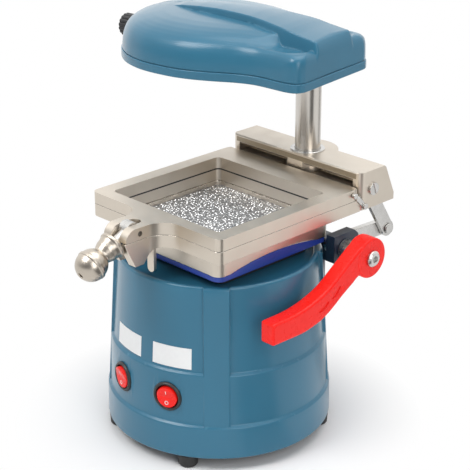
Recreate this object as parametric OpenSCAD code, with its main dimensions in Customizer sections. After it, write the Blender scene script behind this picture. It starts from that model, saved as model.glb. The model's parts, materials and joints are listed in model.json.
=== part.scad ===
// Bench vacuum former: a round blower base with a shot tray on a silicone pad, a hinged
// sheet frame on a column carriage, a lever with a lift link, and a swinging heater head.
// Millimetres, Z up, front of the machine towards -Y, lever on the +X side.

/* [Base] */
// Radius of the blower base at its bottom edge
base_radius = 86.4; // [78:0.1:100]
// Height of the blower base, without its feet
base_height = 133; // [110:1:160]
// Height of the rubber feet
foot_height = 10; // [6:0.5:20]
// Wall of the pressed base and head
wall = 3; // [2:0.1:4]

/* [Sheet frames] */
// Width of the two sheet frames
frame_width = 136; // [126:1:160]
// Width of the opening in the frames
opening_width = 113; // [96:1:120]
// Depth of the opening in the frames
opening_depth = 109; // [96:1:112]
// Thickness of the hinged upper frame
upper_thickness = 9; // [7:0.1:12]
// Thickness of the fixed lower frame
lower_thickness = 9.7; // [7:0.1:12]

/* [Column and head] */
// Radius of the steel column
column_radius = 10; // [8:0.1:12]
// How far the column's axis stands behind the base's bottom edge
column_gap = 10.6; // [10:0.1:20]
// Height of the underside of the heater head
head_height = 256; // [250:1:300]
// Turn of the head away from the tray, in degrees
head_turn = 7.3; // [0:0.1:30]
// Radius of the heater's opening
heater_radius = 57; // [45:0.5:60]

/* [Fits] */
// Radial gap of a turning or sliding fit
running = 0.05; // [0.02:0.01:0.1]
// Gap between bodies that move past each other
body_gap = 0.3; // [0.2:0.05:0.5]

/* [Hidden] */

round_fn = 96;
small_fn = 48;

BLUE = [0.29, 0.47, 0.56];
NAVY = [0.10, 0.14, 0.22];
CREAM = [0.80, 0.76, 0.70];
STEEL = [0.70, 0.70, 0.71];
BLACK = [0.07, 0.07, 0.07];
RED = [0.88, 0.14, 0.11];
PAD_BLUE = [0.10, 0.25, 0.65];
WHITE = [0.92, 0.92, 0.92];
CERAMIC = [0.85, 0.82, 0.76];
COPPER = [0.72, 0.45, 0.25];

// Levels of the base. Radii of the housing are given from its bottom radius.
base_top = foot_height + base_height;
top_radius = base_radius - 11.4;
tier_1 = 0.19 * base_height;
tier_2 = 0.5 * base_height;
floor_top = foot_height + 3;
port_radius = 13;

// Switches and labels stand on the front, as angles from -Y towards +X.
heat_angle = 19.5;
vacuum_angle = -12.5;
switch_z = foot_height + 0.35 * base_height;
switch_face = base_radius - 3.5;
label_z = foot_height + 0.523 * base_height;
label_height = 16;

// Sheet frames, tray and pad.
frame_half = frame_width / 2;
open_x = opening_width / 2;
open_front = -opening_depth / 2 + 0.5;
open_back = opening_depth / 2 + 0.5;
frame_front = open_front - 10.5;
pad_z = base_top + 5.5;
tray_z = pad_z + 4;
tray_wall = 3;
tray_top = base_top + 24;
lower_z = tray_top + body_gap;
parting = lower_z + lower_thickness;
upper_z = parting + body_gap;
upper_top = upper_z + upper_thickness;
screen_z = tray_z + 5.5;
shot_top = tray_top - 3.5;
arch_rise = 4.6;
arch_half = 46;

// The column, and the carriage block on it with the hinge of the upper frame inside it.
column_back = base_radius + column_gap;
block_front = column_back - 15;
block_back = column_back + 24;
block_top = upper_top + 10.7;
block_under = upper_top + 3.7;
boss_radius = 24;
bush_radius = 13.5;
hinge_y = column_back - 0.7;
hinge_z = upper_z + 4.7;
hinge_r = 2.6;
ear_radius = 4.5;

// Lever, crank and link.
lever_y = column_back - 33.7;
lever_z = base_top + 0.6;
shaft_r = 5;
crank_y = column_back + 24;
crank_z = lever_z - 2.1;
crank_in = frame_half - 13;
crank_out = frame_half - 8;
link_in = frame_half - 7.6;
link_out = frame_half - 4.1;
pin_r = 3;
arm_in = frame_half - 6;
arm_out = frame_half + 2;
lever_in = max(base_radius - 2.9, arm_out + 13.5);
lever_out = lever_in + 13.5;

// The origin stands on the floor under the middle of the whole machine's box. These are that
// point's distances from the base's axis, and everything is drawn from the axis and moved once.
middle_x = -43.3;
middle_y = 11;
gland_angle = 190;

// Clamp at the front: a bolt on a cross pin, drawn down by a turned knob. The knob's flange
// meets the lower frame at seat_reach from the pin.
pin_y = frame_front - 22.5;
pin_z = upper_z + 4.4;
clamp_tilt = 26;
lug_half = 12;
slot_half = 4.6;
bolt_r = 4;
eye_r = 6.2;
seat_reach = 15;
flange_r = 10.3;

// Heater head, drawn along its own axis from the column and then turned.
head_seam = head_height + 6;
heater_reach = column_back;

// A round bar along X, a plate across X and two flat outlines.
module along_x(x0, x1, y, z, r, fn = small_fn) {
  translate([x0, y, z]) rotate([0, 90, 0]) cylinder(h = x1 - x0, r = r, $fn = fn);
}

module side_plate(x0, x1) {
  translate([x0, 0, 0]) rotate([90, 0, 90]) linear_extrude(x1 - x0) children();
}

module disc(r, at = [0, 0], fn = small_fn) {
  translate(at) circle(r, $fn = fn);
}

module rounded(x0, x1, y0, y1, r) {
  difference() {
    translate([x0, y0]) square([x1 - x0, y1 - y0]);
    for (sx = [0, 1], sy = [0, 1]) {
      cx = sx == 0 ? x0 + r : x1 - r;
      cy = sy == 0 ? y0 + r : y1 - r;
      difference() {
        translate([sx == 0 ? x0 - 1 : cx, sy == 0 ? y0 - 1 : cy]) square(r + 1);
        disc(r, [cx, cy]);
      }
    }
  }
}

module on_front(angle, z) {
  rotate([0, 0, angle]) translate([0, 0, z]) rotate([90, 0, 0]) children();
}

module on_clamp_axis() {
  translate([0, pin_y, pin_z]) rotate([90 + clamp_tilt, 0, 0]) children();
}

module on_head() {
  translate([0, column_back, 0]) rotate([0, 0, 180 + head_turn]) children();
}

// Radius of the housing's upper tier at height z.
function skin(z) = base_radius - 6.4 - (base_radius - 7 - top_radius)
  * (z - foot_height - tier_2 - 1.2) / (base_height - tier_2 - 3.6);

module base_housing() {
  h = base_height;
  r = base_radius;
  color(BLUE) difference() {
    union() {
      translate([0, 0, foot_height]) rotate_extrude($fn = round_fn) polygon([
        [r - wall - 0.2, 0], [r - 1.2, 0], [r, 1.4],
        [r - 0.8, tier_1 - 1.6], [r - 2.6, tier_1 + 0.6], [r - 3.2, tier_1 + 1.2],
        [r - 4.2, tier_2 - 1.8], [r - 5.8, tier_2 + 0.2], [r - 6.4, tier_2 + 1.2],
        [top_radius + 0.6, h - 2.4], [top_radius - 0.2, h - 0.7], [top_radius - 1.4, h],
        [top_radius - 3.4, h], [top_radius - 3.4, h - 2],
        [port_radius, h - 2], [port_radius, h - 5],
        [top_radius - wall - 0.4, h - 5], [r - 6.4 - wall, tier_2],
        [r - 4.2 - wall, tier_2 - 3], [r - 3.2 - wall, tier_1 - 1],
        [r - 0.8 - wall, tier_1 - 3.6], [r - wall - 0.2, 3]]);
      for (a = [45, 135, 225, 315]) rotate([0, 0, a]) base_rib();
      for (a = [heat_angle, vacuum_angle]) on_front(a, switch_z)
        translate([0, 0, switch_face - 5]) cylinder(h = 5, r = 12.6, $fn = small_fn);
    }
    for (a = [heat_angle, vacuum_angle]) on_front(a, switch_z)
      translate([0, 0, switch_face - 20]) cylinder(h = 22, r = 10, $fn = small_fn);
    for (z = bracket_screw_levels) translate([0, top_radius - 12, z]) rotate([-90, 0, 0])
      cylinder(h = 30, r = 2.5, $fn = small_fn);
    rotate([0, 0, gland_angle]) translate([0, 0, foot_height + 15]) rotate([90, 0, 0])
      translate([0, 0, base_radius - 12]) cylinder(h = 20, r = 6, $fn = small_fn);
  }
}

module base_rib() {
  h = base_height - tier_1 + 3.4;
  low = base_radius - 1.4;
  high = top_radius + 3.2;
  translate([0, 0, foot_height + base_height - h]) intersection() {
    difference() {
      union() {
        cylinder(h = h - 1.6, r1 = low, r2 = high, $fn = round_fn);
        translate([0, 0, h - 1.6]) cylinder(h = 1.6, r1 = high, r2 = high - 1.6, $fn = round_fn);
      }
      translate([0, 0, -1]) cylinder(h = h + 2, r1 = low - 3.6, r2 = high - 5.4, $fn = round_fn);
    }
    translate([0, -9.5, -2]) cube([base_radius + 5, 19, h + 4]);
  }
}

module base_plate() {
  color(BLACK) translate([0, 0, foot_height]) difference() {
    cylinder(h = 3, r = base_radius - wall - 0.3, $fn = round_fn);
    for (a = foot_angles) rotate([0, 0, a]) translate([0, -foot_reach, -1])
      cylinder(h = 5, r = 2, $fn = small_fn);
    for (a = [0:30:330]) rotate([0, 0, a]) translate([46, -2.5, -1]) cube([18, 5, 5]);
  }
}

foot_angles = [-34.6, 29, 126, 206];
foot_reach = base_radius - 8.4;

module feet() {
  color(BLACK) for (a = foot_angles) rotate([0, 0, a]) translate([0, -foot_reach, 0])
    difference() {
      union() {
        cylinder(h = 1.2, r1 = 6, r2 = 7.2, $fn = small_fn);
        translate([0, 0, 1.2]) cylinder(h = foot_height - 1.2, r1 = 7.2, r2 = 7.8, $fn = small_fn);
      }
      translate([0, 0, -1]) cylinder(h = 5, r = 4, $fn = small_fn);
      cylinder(h = foot_height + 1, r = 2, $fn = small_fn);
    }
}

module foot_screws() {
  color(STEEL) for (a = foot_angles) rotate([0, 0, a]) translate([0, -foot_reach, 0])
    difference() {
      union() {
        translate([0, 0, 1.6]) cylinder(h = 2.4, r = 3.6, $fn = small_fn);
        translate([0, 0, 4]) cylinder(h = foot_height + 1, r = 2, $fn = small_fn);
      }
      translate([-0.5, -5, 1]) cube([1, 10, 1.6]);
    }
}

motor_top = floor_top + 56;
fan_z = motor_top;
fan_top = base_top - 15;

module motor() {
  color(STEEL) difference() {
    union() {
      translate([0, 0, floor_top]) cylinder(h = 8, r = 40, $fn = round_fn);
      translate([0, 0, floor_top + 8]) cylinder(h = 40, r = 36, $fn = round_fn);
      translate([0, 0, floor_top + 48]) cylinder(h = 8, r = 24, $fn = round_fn);
    }
    translate([0, 0, floor_top + 20]) cylinder(h = 60, r = 4 + running, $fn = small_fn);
  }
}

module fan_housing() {
  color(BLACK) translate([0, 0, fan_z]) rotate_extrude($fn = round_fn) polygon([
    [8, 0], [54, 0], [54, fan_top - fan_z], [port_radius + 2, fan_top - fan_z],
    [port_radius + 2, base_top - 5 - fan_z], [port_radius, base_top - 5 - fan_z],
    [port_radius, fan_top - fan_z - 2.5], [51.5, fan_top - fan_z - 2.5],
    [51.5, 2.5], [8, 2.5]]);
}

module impeller() {
  z = fan_z + 8;
  color(STEEL) union() {
    translate([0, 0, floor_top + 22]) cylinder(h = z + 24 - floor_top - 22, r = 4, $fn = small_fn);
    translate([0, 0, z]) cylinder(h = 2, r = 46, $fn = round_fn);
    translate([0, 0, z]) cylinder(h = 16, r = 9, $fn = small_fn);
    for (a = [0:40:320]) rotate([0, 0, a]) translate([8, -1, z + 1]) cube([36, 2, 18]);
  }
}

module vacuum_plenum() {
  color(BLACK) translate([0, 0, base_top - 2]) difference() {
    linear_extrude(pad_z - base_top + 2) rounded(-50, 50, -46, 47, 8);
    translate([0, 0, -1]) cylinder(h = 12, r = port_radius, $fn = small_fn);
  }
}

module arch_shape(extra = 0) {
  r = (arch_half * arch_half + arch_rise * arch_rise) / (2 * arch_rise);
  translate([0.5, tray_z + arch_rise - r]) intersection() {
    circle(r, $fn = 180);
    translate([-arch_half - 2, r - arch_rise - extra]) square([2 * arch_half + 4, arch_rise + 9]);
  }
}

module seal_pad() {
  x = open_x + tray_wall - 0.5;
  color(PAD_BLUE) union() {
    translate([0, 0, pad_z]) linear_extrude(tray_z - pad_z) difference() {
      rounded(-x, x, open_front - tray_wall + 0.5, open_back + tray_wall - 0.5, 7);
      rounded(-46, 46, -42, 43, 6);
    }
    for (s = [0, 1]) mirror([s, 0, 0]) side_plate(x - 5.4, x) arch_shape(0);
  }
}

module shot_tray() {
  x = open_x + tray_wall;
  color(CREAM) difference() {
    translate([0, 0, tray_z]) linear_extrude(tray_top - tray_z)
      rounded(-x, x, open_front - tray_wall, open_back + tray_wall, 7);
    translate([0, 0, screen_z]) linear_extrude(30)
      rounded(-open_x, open_x, open_front, open_back, 4);
    translate([0, 0, tray_z - 1]) linear_extrude(30)
      rounded(-open_x + 3, open_x - 3, open_front + 3, open_back - 3, 4);
    for (s = [0, 1]) mirror([s, 0, 0]) side_plate(x - 7, x + 1) arch_shape(0.5);
  }
}

module shot_screen() {
  color(STEEL) translate([0, 0, screen_z]) linear_extrude(1.2) difference() {
    rounded(-open_x + 0.1, open_x - 0.1, open_front + 0.1, open_back - 0.1, 4);
    for (x = [-36:12:36], y = [-36:12:36]) disc(2.5, [x, y + 0.5], 16);
  }
}

module steel_shot() {
  color(STEEL) translate([0, 0, screen_z + 1.2]) linear_extrude(shot_top - screen_z - 1.2)
    rounded(-open_x + 0.1, open_x - 0.1, open_front + 0.1, open_back - 0.1, 4);
}

bracket_screw_levels = [foot_height + 0.56 * base_height, foot_height + 0.72 * base_height];

module rear_bracket() {
  z0 = foot_height + 0.47 * base_height;
  z1 = base_top - 8;
  color(NAVY) difference() {
    union() {
      translate([0, column_back, z0]) cylinder(h = z1 - z0, r = 16, $fn = small_fn);
      translate([-20, top_radius - 5, z0]) cube([40, column_back - top_radius + 5, z1 - z0]);
      translate([0, column_back - 13, base_top - 27]) cube([arm_out, 13, 18]);
      side_plate(arm_in, arm_out) difference() {
        union() {
          polygon([[lever_y - 11.5, base_top - 8.5], [lever_y - 11.5, base_top + 12.5],
            [lever_y + 11, base_top + 12.5], [lever_y + 15, base_top + 9],
            [lever_y + 20, base_top - 6], [column_back, base_top - 9],
            [column_back, base_top - 27], [lever_y + 20.7, base_top - 27],
            [lever_y + 8, base_top - 12]]);
        }
        disc(shaft_r + running, [lever_y, lever_z]);
      }
    }
    translate([0, column_back, z0 + 8]) cylinder(h = 200, r = column_radius, $fn = small_fn);
    base_envelope(0.02);
    for (z = bracket_screw_levels) translate([0, top_radius - 12, z]) rotate([-90, 0, 0])
      cylinder(h = column_back - top_radius + 4, r = 2.5, $fn = small_fn);
  }
}

module base_envelope(gap) {
  z0 = foot_height + tier_2;
  difference() {
    translate([0, 0, z0 + 1.2]) cylinder(h = base_top - 2.4 - z0 - 1.2,
      r1 = base_radius - 6.4 + gap, r2 = top_radius + 0.6 + gap, $fn = round_fn);
    translate([-100, -200, 0]) cube([200, 200, 300]);
  }
  translate([0, 0, z0 - 4]) cylinder(h = 5.2, r = base_radius - 4.2 + gap, $fn = round_fn);
}

module bracket_screws() {
  color(STEEL) for (z = bracket_screw_levels) translate([0, top_radius - 12, z])
    rotate([-90, 0, 0]) {
      translate([0, 0, 12 - wall - 1.4]) cylinder(h = 14, r = 2.5, $fn = small_fn);
      translate([0, 0, 12 - wall - 5]) cylinder(h = 3.6, r = 4.2, $fn = small_fn);
    }
}

column_foot = foot_height + 0.47 * base_height + 8;

module column() {
  color(STEEL) translate([0, column_back, column_foot]) union() {
    cylinder(h = head_height + 14 - column_foot, r = column_radius, $fn = small_fn);
    translate([0, 0, head_height + 14 - column_foot])
      cylinder(h = 2, r1 = column_radius, r2 = column_radius - 2, $fn = small_fn);
  }
}

module switch_body(angle) {
  color(BLACK) on_front(angle, switch_z) translate([0, 0, switch_face]) difference() {
    union() {
      cylinder(h = 1.2, r = 11.5, $fn = small_fn);
      translate([0, 0, 1.2]) cylinder(h = 0.9, r1 = 11.5, r2 = 10.4, $fn = small_fn);
      translate([0, 0, -17]) cylinder(h = 17, r = 10, $fn = small_fn);
      for (y = [-4, 4]) translate([-2.4, y - 0.4, -24]) cube([4.8, 0.8, 8]);
    }
    translate([0, 0, -6]) cylinder(h = 9, r = 9.1, $fn = small_fn);
    translate([0, 0, 0.4]) rotate([0, 90, 0]) translate([0, 0, -9.7])
      cylinder(h = 19.4, r = 1 + running, $fn = small_fn);
  }
}

module rocker(angle) {
  color(RED) on_front(angle, switch_z) translate([0, 0, switch_face + 0.4])
    rotate([7, 0, 0]) union() {
      intersection() {
        translate([0, 0, -5]) cylinder(h = 10, r = 8.3, $fn = small_fn);
        rotate([90, 0, 90]) translate([0, 0, -9]) linear_extrude(18)
          polygon([[-8.2, -3], [8.2, -3], [8.1, 3.2], [0, 1.9], [-8.1, 3.2]]);
      }
      rotate([0, 90, 0]) translate([0, 0, -9.5]) cylinder(h = 19, r = 1, $fn = small_fn);
    }
}

module heat_switch_body() { switch_body(heat_angle); }
module vacuum_switch_body() { switch_body(vacuum_angle); }
module heat_rocker() { rocker(heat_angle); }
module vacuum_rocker() { rocker(vacuum_angle); }

// A label is cut from a whole ring, so that its facets are those of the housing.
module label_plate(centre, sweep) {
  r0 = skin(label_z) + 0.04;
  r1 = skin(label_z + label_height) + 0.04;
  far = 1.5 * base_radius;
  color(WHITE) intersection() {
    rotate_extrude($fn = round_fn) polygon([[r0, label_z], [r0 + 0.5, label_z],
      [r1 + 0.5, label_z + label_height], [r1, label_z + label_height]]);
    translate([0, 0, label_z - 1]) linear_extrude(label_height + 2) polygon([[0, 0],
      for (a = [centre - sweep / 2, centre + sweep / 2]) [far * sin(a), -far * cos(a)]]);
  }
}

module heat_label() { label_plate(heat_angle + 1.1, 22.6); }
module vacuum_label() { label_plate(vacuum_angle + 2, 22.6); }

module cable_gland() {
  color(BLACK) rotate([0, 0, gland_angle]) translate([0, 0, foot_height + 15]) rotate([90, 0, 0])
    translate([0, 0, base_radius - 6]) union() {
      translate([0, 0, -4]) cylinder(h = 12, r = 6, $fn = small_fn);
      translate([0, 0, 6.4]) cylinder(h = 5, r = 9, $fn = small_fn);
      translate([0, 0, 11.4]) cylinder(h = 14, r1 = 6.5, r2 = 4.2, $fn = small_fn);
    }
}

module lug_plan() {
  reach = pin_y - 15;
  translate([-lug_half, reach]) square([2 * lug_half, frame_front - reach + 1]);
  for (s = [0, 1]) mirror([s, 0]) difference() {
    translate([lug_half - 1, frame_front - 16]) square([17, 17]);
    disc(16, [lug_half + 16, frame_front - 16]);
  }
}

module lug_slot(z0, z1) {
  translate([0, 0, z0]) linear_extrude(z1 - z0) {
    translate([-slot_half, pin_y - 40]) square([2 * slot_half, 39 + eye_r]);
    disc(slot_half, [0, pin_y + eye_r - 1]);
  }
}

// An upright channel in the seat. Between its two lips the flange rises past the lower
// frame with the upper one.
module flange_way() {
  half = flange_r + 0.35;
  wall_y = pin_y - seat_reach * cos(clamp_tilt) + flange_r * sin(clamp_tilt);
  translate([-half, wall_y - 40, lower_z - 30]) cube([2 * half, 40, 60]);
}

module lower_frame() {
  t = clamp_tilt;
  seat_y = pin_y - seat_reach * cos(t);
  seat_z = pin_z - seat_reach * sin(t);
  color(CREAM) difference() {
    union() {
      translate([0, 0, lower_z]) linear_extrude(lower_thickness) difference() {
        union() {
          rounded(-frame_half, frame_half, frame_front, block_front - 4, 5);
          translate([-frame_half, 0]) square([frame_width, block_front]);
        }
        rounded(-open_x, open_x, open_front, open_back, 4);
      }
      intersection() {
        side_plate(-40, 40) polygon([
          [frame_front + 2, parting], [seat_y - (parting - seat_z) * tan(t), parting],
          [seat_y + 17.5 * tan(t), seat_z - 17.5], [pin_y + 3, seat_z - 17.5],
          [pin_y + 8, seat_z - 11], [pin_y + 12, lower_z], [frame_front + 2, lower_z]]);
        translate([0, 0, lower_z - 20]) linear_extrude(60) lug_plan();
      }
      translate([slot_half + 0.4, pin_y + 12, lower_z]) rotate([90, 0, 0])
        translate([0, 0, -2.8]) linear_extrude(2.8) {
          translate([0, -16]) square([6.8, 20]);
          disc(3.4, [3.4, -16]);
        }
    }
    lug_slot(lower_z - 30, parting + 1);
    flange_way();
  }
}

module block_shape() {
  polygon([[block_front, lower_z], [block_back, lower_z], [block_back, lower_z + 5.5],
    [block_back - 10, block_top - 1.5], [block_back - 11.5, block_top],
    [block_front + 0.8, block_top], [block_front, block_top - 0.8]]);
}

module carriage_block() {
  color(CREAM) difference() {
    union() {
      difference() {
        side_plate(-frame_half, frame_half) block_shape();
        side_plate(-frame_half + 7.8, frame_half - 7.8) polygon([
          [block_front - 1, parting], [column_back + 9.5, parting],
          [column_back + 9.5, block_under], [block_front + 1.5, block_under],
          [block_front - 1, block_under + 2.5]]);
        link_channel();
        translate([0, 0, lower_z - 1]) linear_extrude(60) for (s = [0, 1]) mirror([s, 0])
          difference() {
            translate([frame_half - 5, block_front - 1]) square([6, 6]);
            disc(5, [frame_half - 5, block_front + 5]);
          }
      }
      difference() {
        translate([0, column_back, lower_z]) cylinder(h = block_top - lower_z, r = boss_radius,
          $fn = small_fn);
        translate([-30, block_front - 40, lower_z - 1]) cube([60, 40, 60]);
        side_plate(-40, 40) polygon([[block_front - 1, parting], [column_back + 9.5, parting],
          [column_back + 9.5, block_under], [block_front + 1.5, block_under],
          [block_front - 1, block_under + 2.5]]);
      }
      translate([0, column_back, lower_z]) intersection() {
        cylinder(h = block_top - lower_z, r = 16.5, $fn = small_fn);
        translate([-20, block_front - column_back, 0]) cube([40, 60, 60]);
      }
    }
    translate([0, column_back, lower_z - 1]) cylinder(h = 60, r = bush_radius, $fn = small_fn);
    for (s = [0, 1]) mirror([s, 0, 0])
      along_x(frame_half - 8, frame_half + 1, hinge_y, hinge_z, hinge_r);
    along_x(frame_half - 4, frame_half + 1, block_front + 3.6, lower_z + 3.8, 1.2);
  }
}

module link_channel() {
  x0 = link_in - 0.5;
  x1 = link_out + 0.4;
  side_plate(x0, x1) union() {
    disc(8, [hinge_y, hinge_z]);
    polygon([[hinge_y - 8, hinge_z], [hinge_y - 4, lower_z - 1], [block_back + 1, lower_z - 1],
      [block_back + 1, lower_z + 12], [hinge_y + 6, hinge_z + 4.3]]);
  }
}

module guide_bush() {
  color(COPPER) translate([0, column_back, lower_z]) difference() {
    union() {
      cylinder(h = block_top - lower_z + 1, r = bush_radius, $fn = small_fn);
    }
    translate([0, 0, -1]) cylinder(h = 60, r = column_radius + running, $fn = small_fn);
  }
}

module hinge_screws() {
  color(STEEL) for (s = [0, 1]) mirror([s, 0, 0]) difference() {
    union() {
      along_x(frame_half - 26, frame_half, hinge_y, hinge_z, hinge_r);
      along_x(frame_half, frame_half + 1.8, hinge_y, hinge_z, 5);
    }
    translate([frame_half + 0.9, hinge_y, hinge_z]) rotate([20, 0, 0])
      translate([0, -0.6, -6]) cube([2, 1.2, 12]);
  }
}

module leaf_plan() {
  y0 = block_front + 3.6;
  z0 = lower_z + 3.8;
  difference() {
    union() {
      disc(2.4, [y0, z0]);
      disc(2.1, [y0 - 7, z0 + 7.4]);
      translate([y0, z0]) rotate(atan2(7.4, -7)) translate([0, -1.8]) square([10.2, 3.6]);
    }
    disc(1.2, [y0, z0]);
  }
}

module frame_leaf() {
  color(STEEL) side_plate(frame_half + 0.35, frame_half + 1.35) leaf_plan();
}

module leaf_screw() {
  y0 = block_front + 3.6;
  z0 = lower_z + 3.8;
  color(STEEL) union() {
    along_x(frame_half - 4, frame_half + 1.35, y0, z0, 1.2);
    along_x(frame_half + 1.35, frame_half + 3, y0, z0, 2.4);
  }
}

module upper_frame() {
  back = column_back - 17;
  color(CREAM) difference() {
    union() {
      translate([0, 0, upper_z]) linear_extrude(upper_thickness) difference() {
        union() {
          rounded(-frame_half, frame_half, frame_front, back, 5);
          translate([-frame_half + 2, back - 8]) square([frame_width - 4, 8]);
        }
        rounded(-open_x, open_x, open_front, open_back, 4);
      }
      side_plate(-frame_half + 8.3, frame_half - 8.3) union() {
        polygon([[back - 1, upper_z], [hinge_y, upper_z], [hinge_y, hinge_z + ear_radius],
          [hinge_y - 3, hinge_z + ear_radius - 2], [back + 3, upper_top - 2],
          [back - 1, upper_top]]);
        disc(ear_radius, [hinge_y, hinge_z]);
      }
      intersection() {
        side_plate(-40, 40) union() {
          translate([pin_y - 4.3, upper_z]) square([frame_front - pin_y + 6, upper_thickness]);
          disc(8.7, [pin_y - 4.3, upper_top - 8.7]);
        }
        translate([0, 0, upper_z]) linear_extrude(upper_thickness) lug_plan();
      }
    }
    translate([-18, back - 0.4, upper_z - 1]) cube([36, 40, 20]);
    translate([-frame_half - 1, back, upper_top]) rotate([45, 0, 0])
      translate([0, -0.85, -0.85]) cube([frame_width + 2, 1.7, 1.7]);
    lug_slot(upper_z - 1, upper_top + 1);
    along_x(-lug_half - 1, lug_half + 1, pin_y, pin_z, 2);
    for (s = [0, 1]) mirror([s, 0, 0])
      along_x(frame_half - 27, frame_half, hinge_y, hinge_z, hinge_r + running);
    along_x(frame_half - 5, frame_half + 1, back - 6.2, hinge_z + 0.3, 1.2);
  }
}

module clamp_pin() {
  color(STEEL) along_x(-lug_half + 1.5, lug_half - 1.5, pin_y, pin_z, 2);
}

module catch_screw() {
  y = column_back - 17 - 6.2;
  color(STEEL) union() {
    along_x(frame_half - 5, frame_half + 0.4, y, hinge_z + 0.3, 1.2);
    along_x(frame_half + 0.4, frame_half + 3, y, hinge_z + 0.3, 2.2);
  }
}

module clamp_bolt() {
  color(STEEL) difference() {
    union() {
      along_x(-slot_half + body_gap, slot_half - body_gap, pin_y, pin_z, eye_r);
      on_clamp_axis() cylinder(h = 37, r = bolt_r, $fn = small_fn);
    }
    along_x(-10, 10, pin_y, pin_z, 2 + running);
  }
}

module clamp_knob() {
  color(CREAM) on_clamp_axis() difference() {
    union() {
      translate([0, 0, seat_reach + body_gap]) rotate_extrude($fn = small_fn) polygon([
        [0, 0], [flange_r - 0.7, 0], [flange_r, 0.7], [flange_r, 3], [flange_r - 0.7, 3.7],
        [8.6, 4.2], [8.4, 7.5],
        [7.4, 10], [6.3, 11.4], [6.1, 12.6], [7, 14], [7, 20], [0, 20]]);
      translate([0, 0, 38.7]) sphere(r = 11.6, $fn = small_fn);
      translate([0, 0, 37.4]) cylinder(h = 2.6, r = 12, $fn = small_fn);
    }
    cylinder(h = 40, r = bolt_r + running, $fn = small_fn);
    cylinder(h = 60, r = 2, $fn = small_fn);
    translate([-20, -20, 49.6]) cube([40, 40, 10]);
  }
}

module handle_plan() {
  y = lever_y;
  z = lever_z;
  polygon([[y - 11, z + 12.5], [y - 30, z - 0.5], [y - 42, z - 8.4], [y - 50, z - 12.4],
    [y - 58, z - 14.6], [y - 67, z - 16.6], [y - 77, z - 18], [y - 88, z - 18.5],
    [y - 101.8, z - 18.3], [y - 103.3, z - 19.7], [y - 103.3, z - 35.2], [y - 102, z - 36.4],
    [y - 84, z - 36.8], [y - 72, z - 36.8], [y - 62, z - 35.4], [y - 52, z - 32.8],
    [y - 42, z - 28], [y - 30, z - 20.4], [y - 12, z - 10], [y, z]]);
}

module lever_handle() {
  color(RED) difference() {
    union() {
      side_plate(lever_in + 0.5, lever_out - 2) handle_plan();
      along_x(lever_in, lever_out, lever_y, lever_z, 15.4, 64);
    }
    along_x(lever_in - 1, lever_out + 1, lever_y, lever_z, shaft_r);
    for (at = [[-37, -15.5, 42], [-50, -22.5, 28]])
      side_plate(lever_out - 2.7, lever_out) translate([lever_y + at[0], lever_z + at[1]])
        rotate(at[2]) rounded(-6, 6, -2.2, 2.2, 1.5);
  }
}

module lever_shaft() {
  color(STEEL) along_x(crank_in - 1, lever_out, lever_y, lever_z, shaft_r);
}

module lever_bolt() {
  color(STEEL) difference() {
    union() {
      along_x(lever_out, lever_out + 1.8, lever_y, lever_z, 6.2);
      translate([lever_out + 1.8, lever_y, lever_z]) rotate([0, 90, 0])
        cylinder(h = 1.6, r1 = 6.2, r2 = 4.6, $fn = small_fn);
    }
    translate([lever_out + 1, lever_y, lever_z]) rotate([0, 90, 0])
      cylinder(h = 4, r = 2.9, $fn = 6);
  }
}

module lever_spacers() {
  color(STEEL) difference() {
    union() {
      along_x(arm_out + body_gap, lever_in, lever_y, lever_z, 7.6);
      along_x(crank_out, arm_in - body_gap, lever_y, lever_z, 7.2);
    }
    along_x(crank_out - 1, lever_in + 1, lever_y, lever_z, shaft_r);
  }
}

module crank_arm() {
  dy = crank_y - lever_y;
  dz = crank_z - lever_z;
  long = norm([dy, dz]);
  color(STEEL) side_plate(crank_in, crank_out) difference() {
    union() {
      disc(6.6, [lever_y, lever_z]);
      disc(6.4, [crank_y, crank_z]);
      translate([lever_y, lever_z]) rotate(atan2(dz, dy)) translate([0, -6]) square([long, 12]);
    }
    disc(shaft_r, [lever_y, lever_z]);
    disc(pin_r, [crank_y, crank_z]);
  }
}

module crank_pin() {
  color(STEEL) union() {
    along_x(crank_in, link_out + 0.3, crank_y, crank_z, pin_r);
    along_x(link_out + 0.3, link_out + 2, crank_y, crank_z, 4.2);
  }
}

// The eye sits a little off the hinge screw at rest and is wide enough for it over the
// whole lift, as the crank's end moves on an arc while the carriage moves straight.
module lift_link() {
  eye = [hinge_y - 0.82, hinge_z - 0.19];
  dy = eye[0] - crank_y;
  dz = eye[1] - crank_z;
  long = norm([dy, dz]);
  color(STEEL) side_plate(link_in, link_out) difference() {
    union() {
      disc(6.4, eye);
      disc(6.4, [crank_y, crank_z]);
      translate([crank_y, crank_z]) rotate(atan2(dz, dy)) translate([0, -6]) square([long, 12]);
    }
    disc(hinge_r + 1.2, eye);
    disc(pin_r + running, [crank_y, crank_z]);
  }
}

half_outline = [[-23, 12], [-23, 28], [-22.4, 36], [-20, 42], [-15, 45.6], [-8, 46.6],
  [4, 46.7], [16, 47], [25, 49.2], [34, 53], [44, 57.8], [54, 62.2], [64, 65.8],
  [76, 68.6], [88, 69.8], [100, 69.8], [112, 68.2], [124, 64.6], [134, 60],
  [143, 53.8], [151, 46.4], [158, 37.6], [163.4, 28], [167.4, 17.6], [169.6, 7]];

function mirrored(list) = [for (i = [len(list) - 1:-1:0]) [list[i][0], -list[i][1]]];
outline = concat(half_outline, mirrored(half_outline));

function spine_point(p) = [min(max(p[0], 6), 98), 0];
function drawn_in(p, d) = let (c = spine_point(p), n = norm(p - c))
  p - (p - c) * min(d / n, 0.75 + 0.1 * d / n);

// Rings from the rim upwards: how far each is drawn in, and its level above the seam.
outer_rings = [[0.6, 0.15], [0.9, 8], [2, 14], [5, 19], [10.5, 23], [19, 25.6], [32, 27]];
inner_rings = [[3.6, 0.15], [3.8, 7], [5, 12], [8, 16.4], [13.5, 19.8], [21.5, 22.2], [33, 23.2]];

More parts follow.
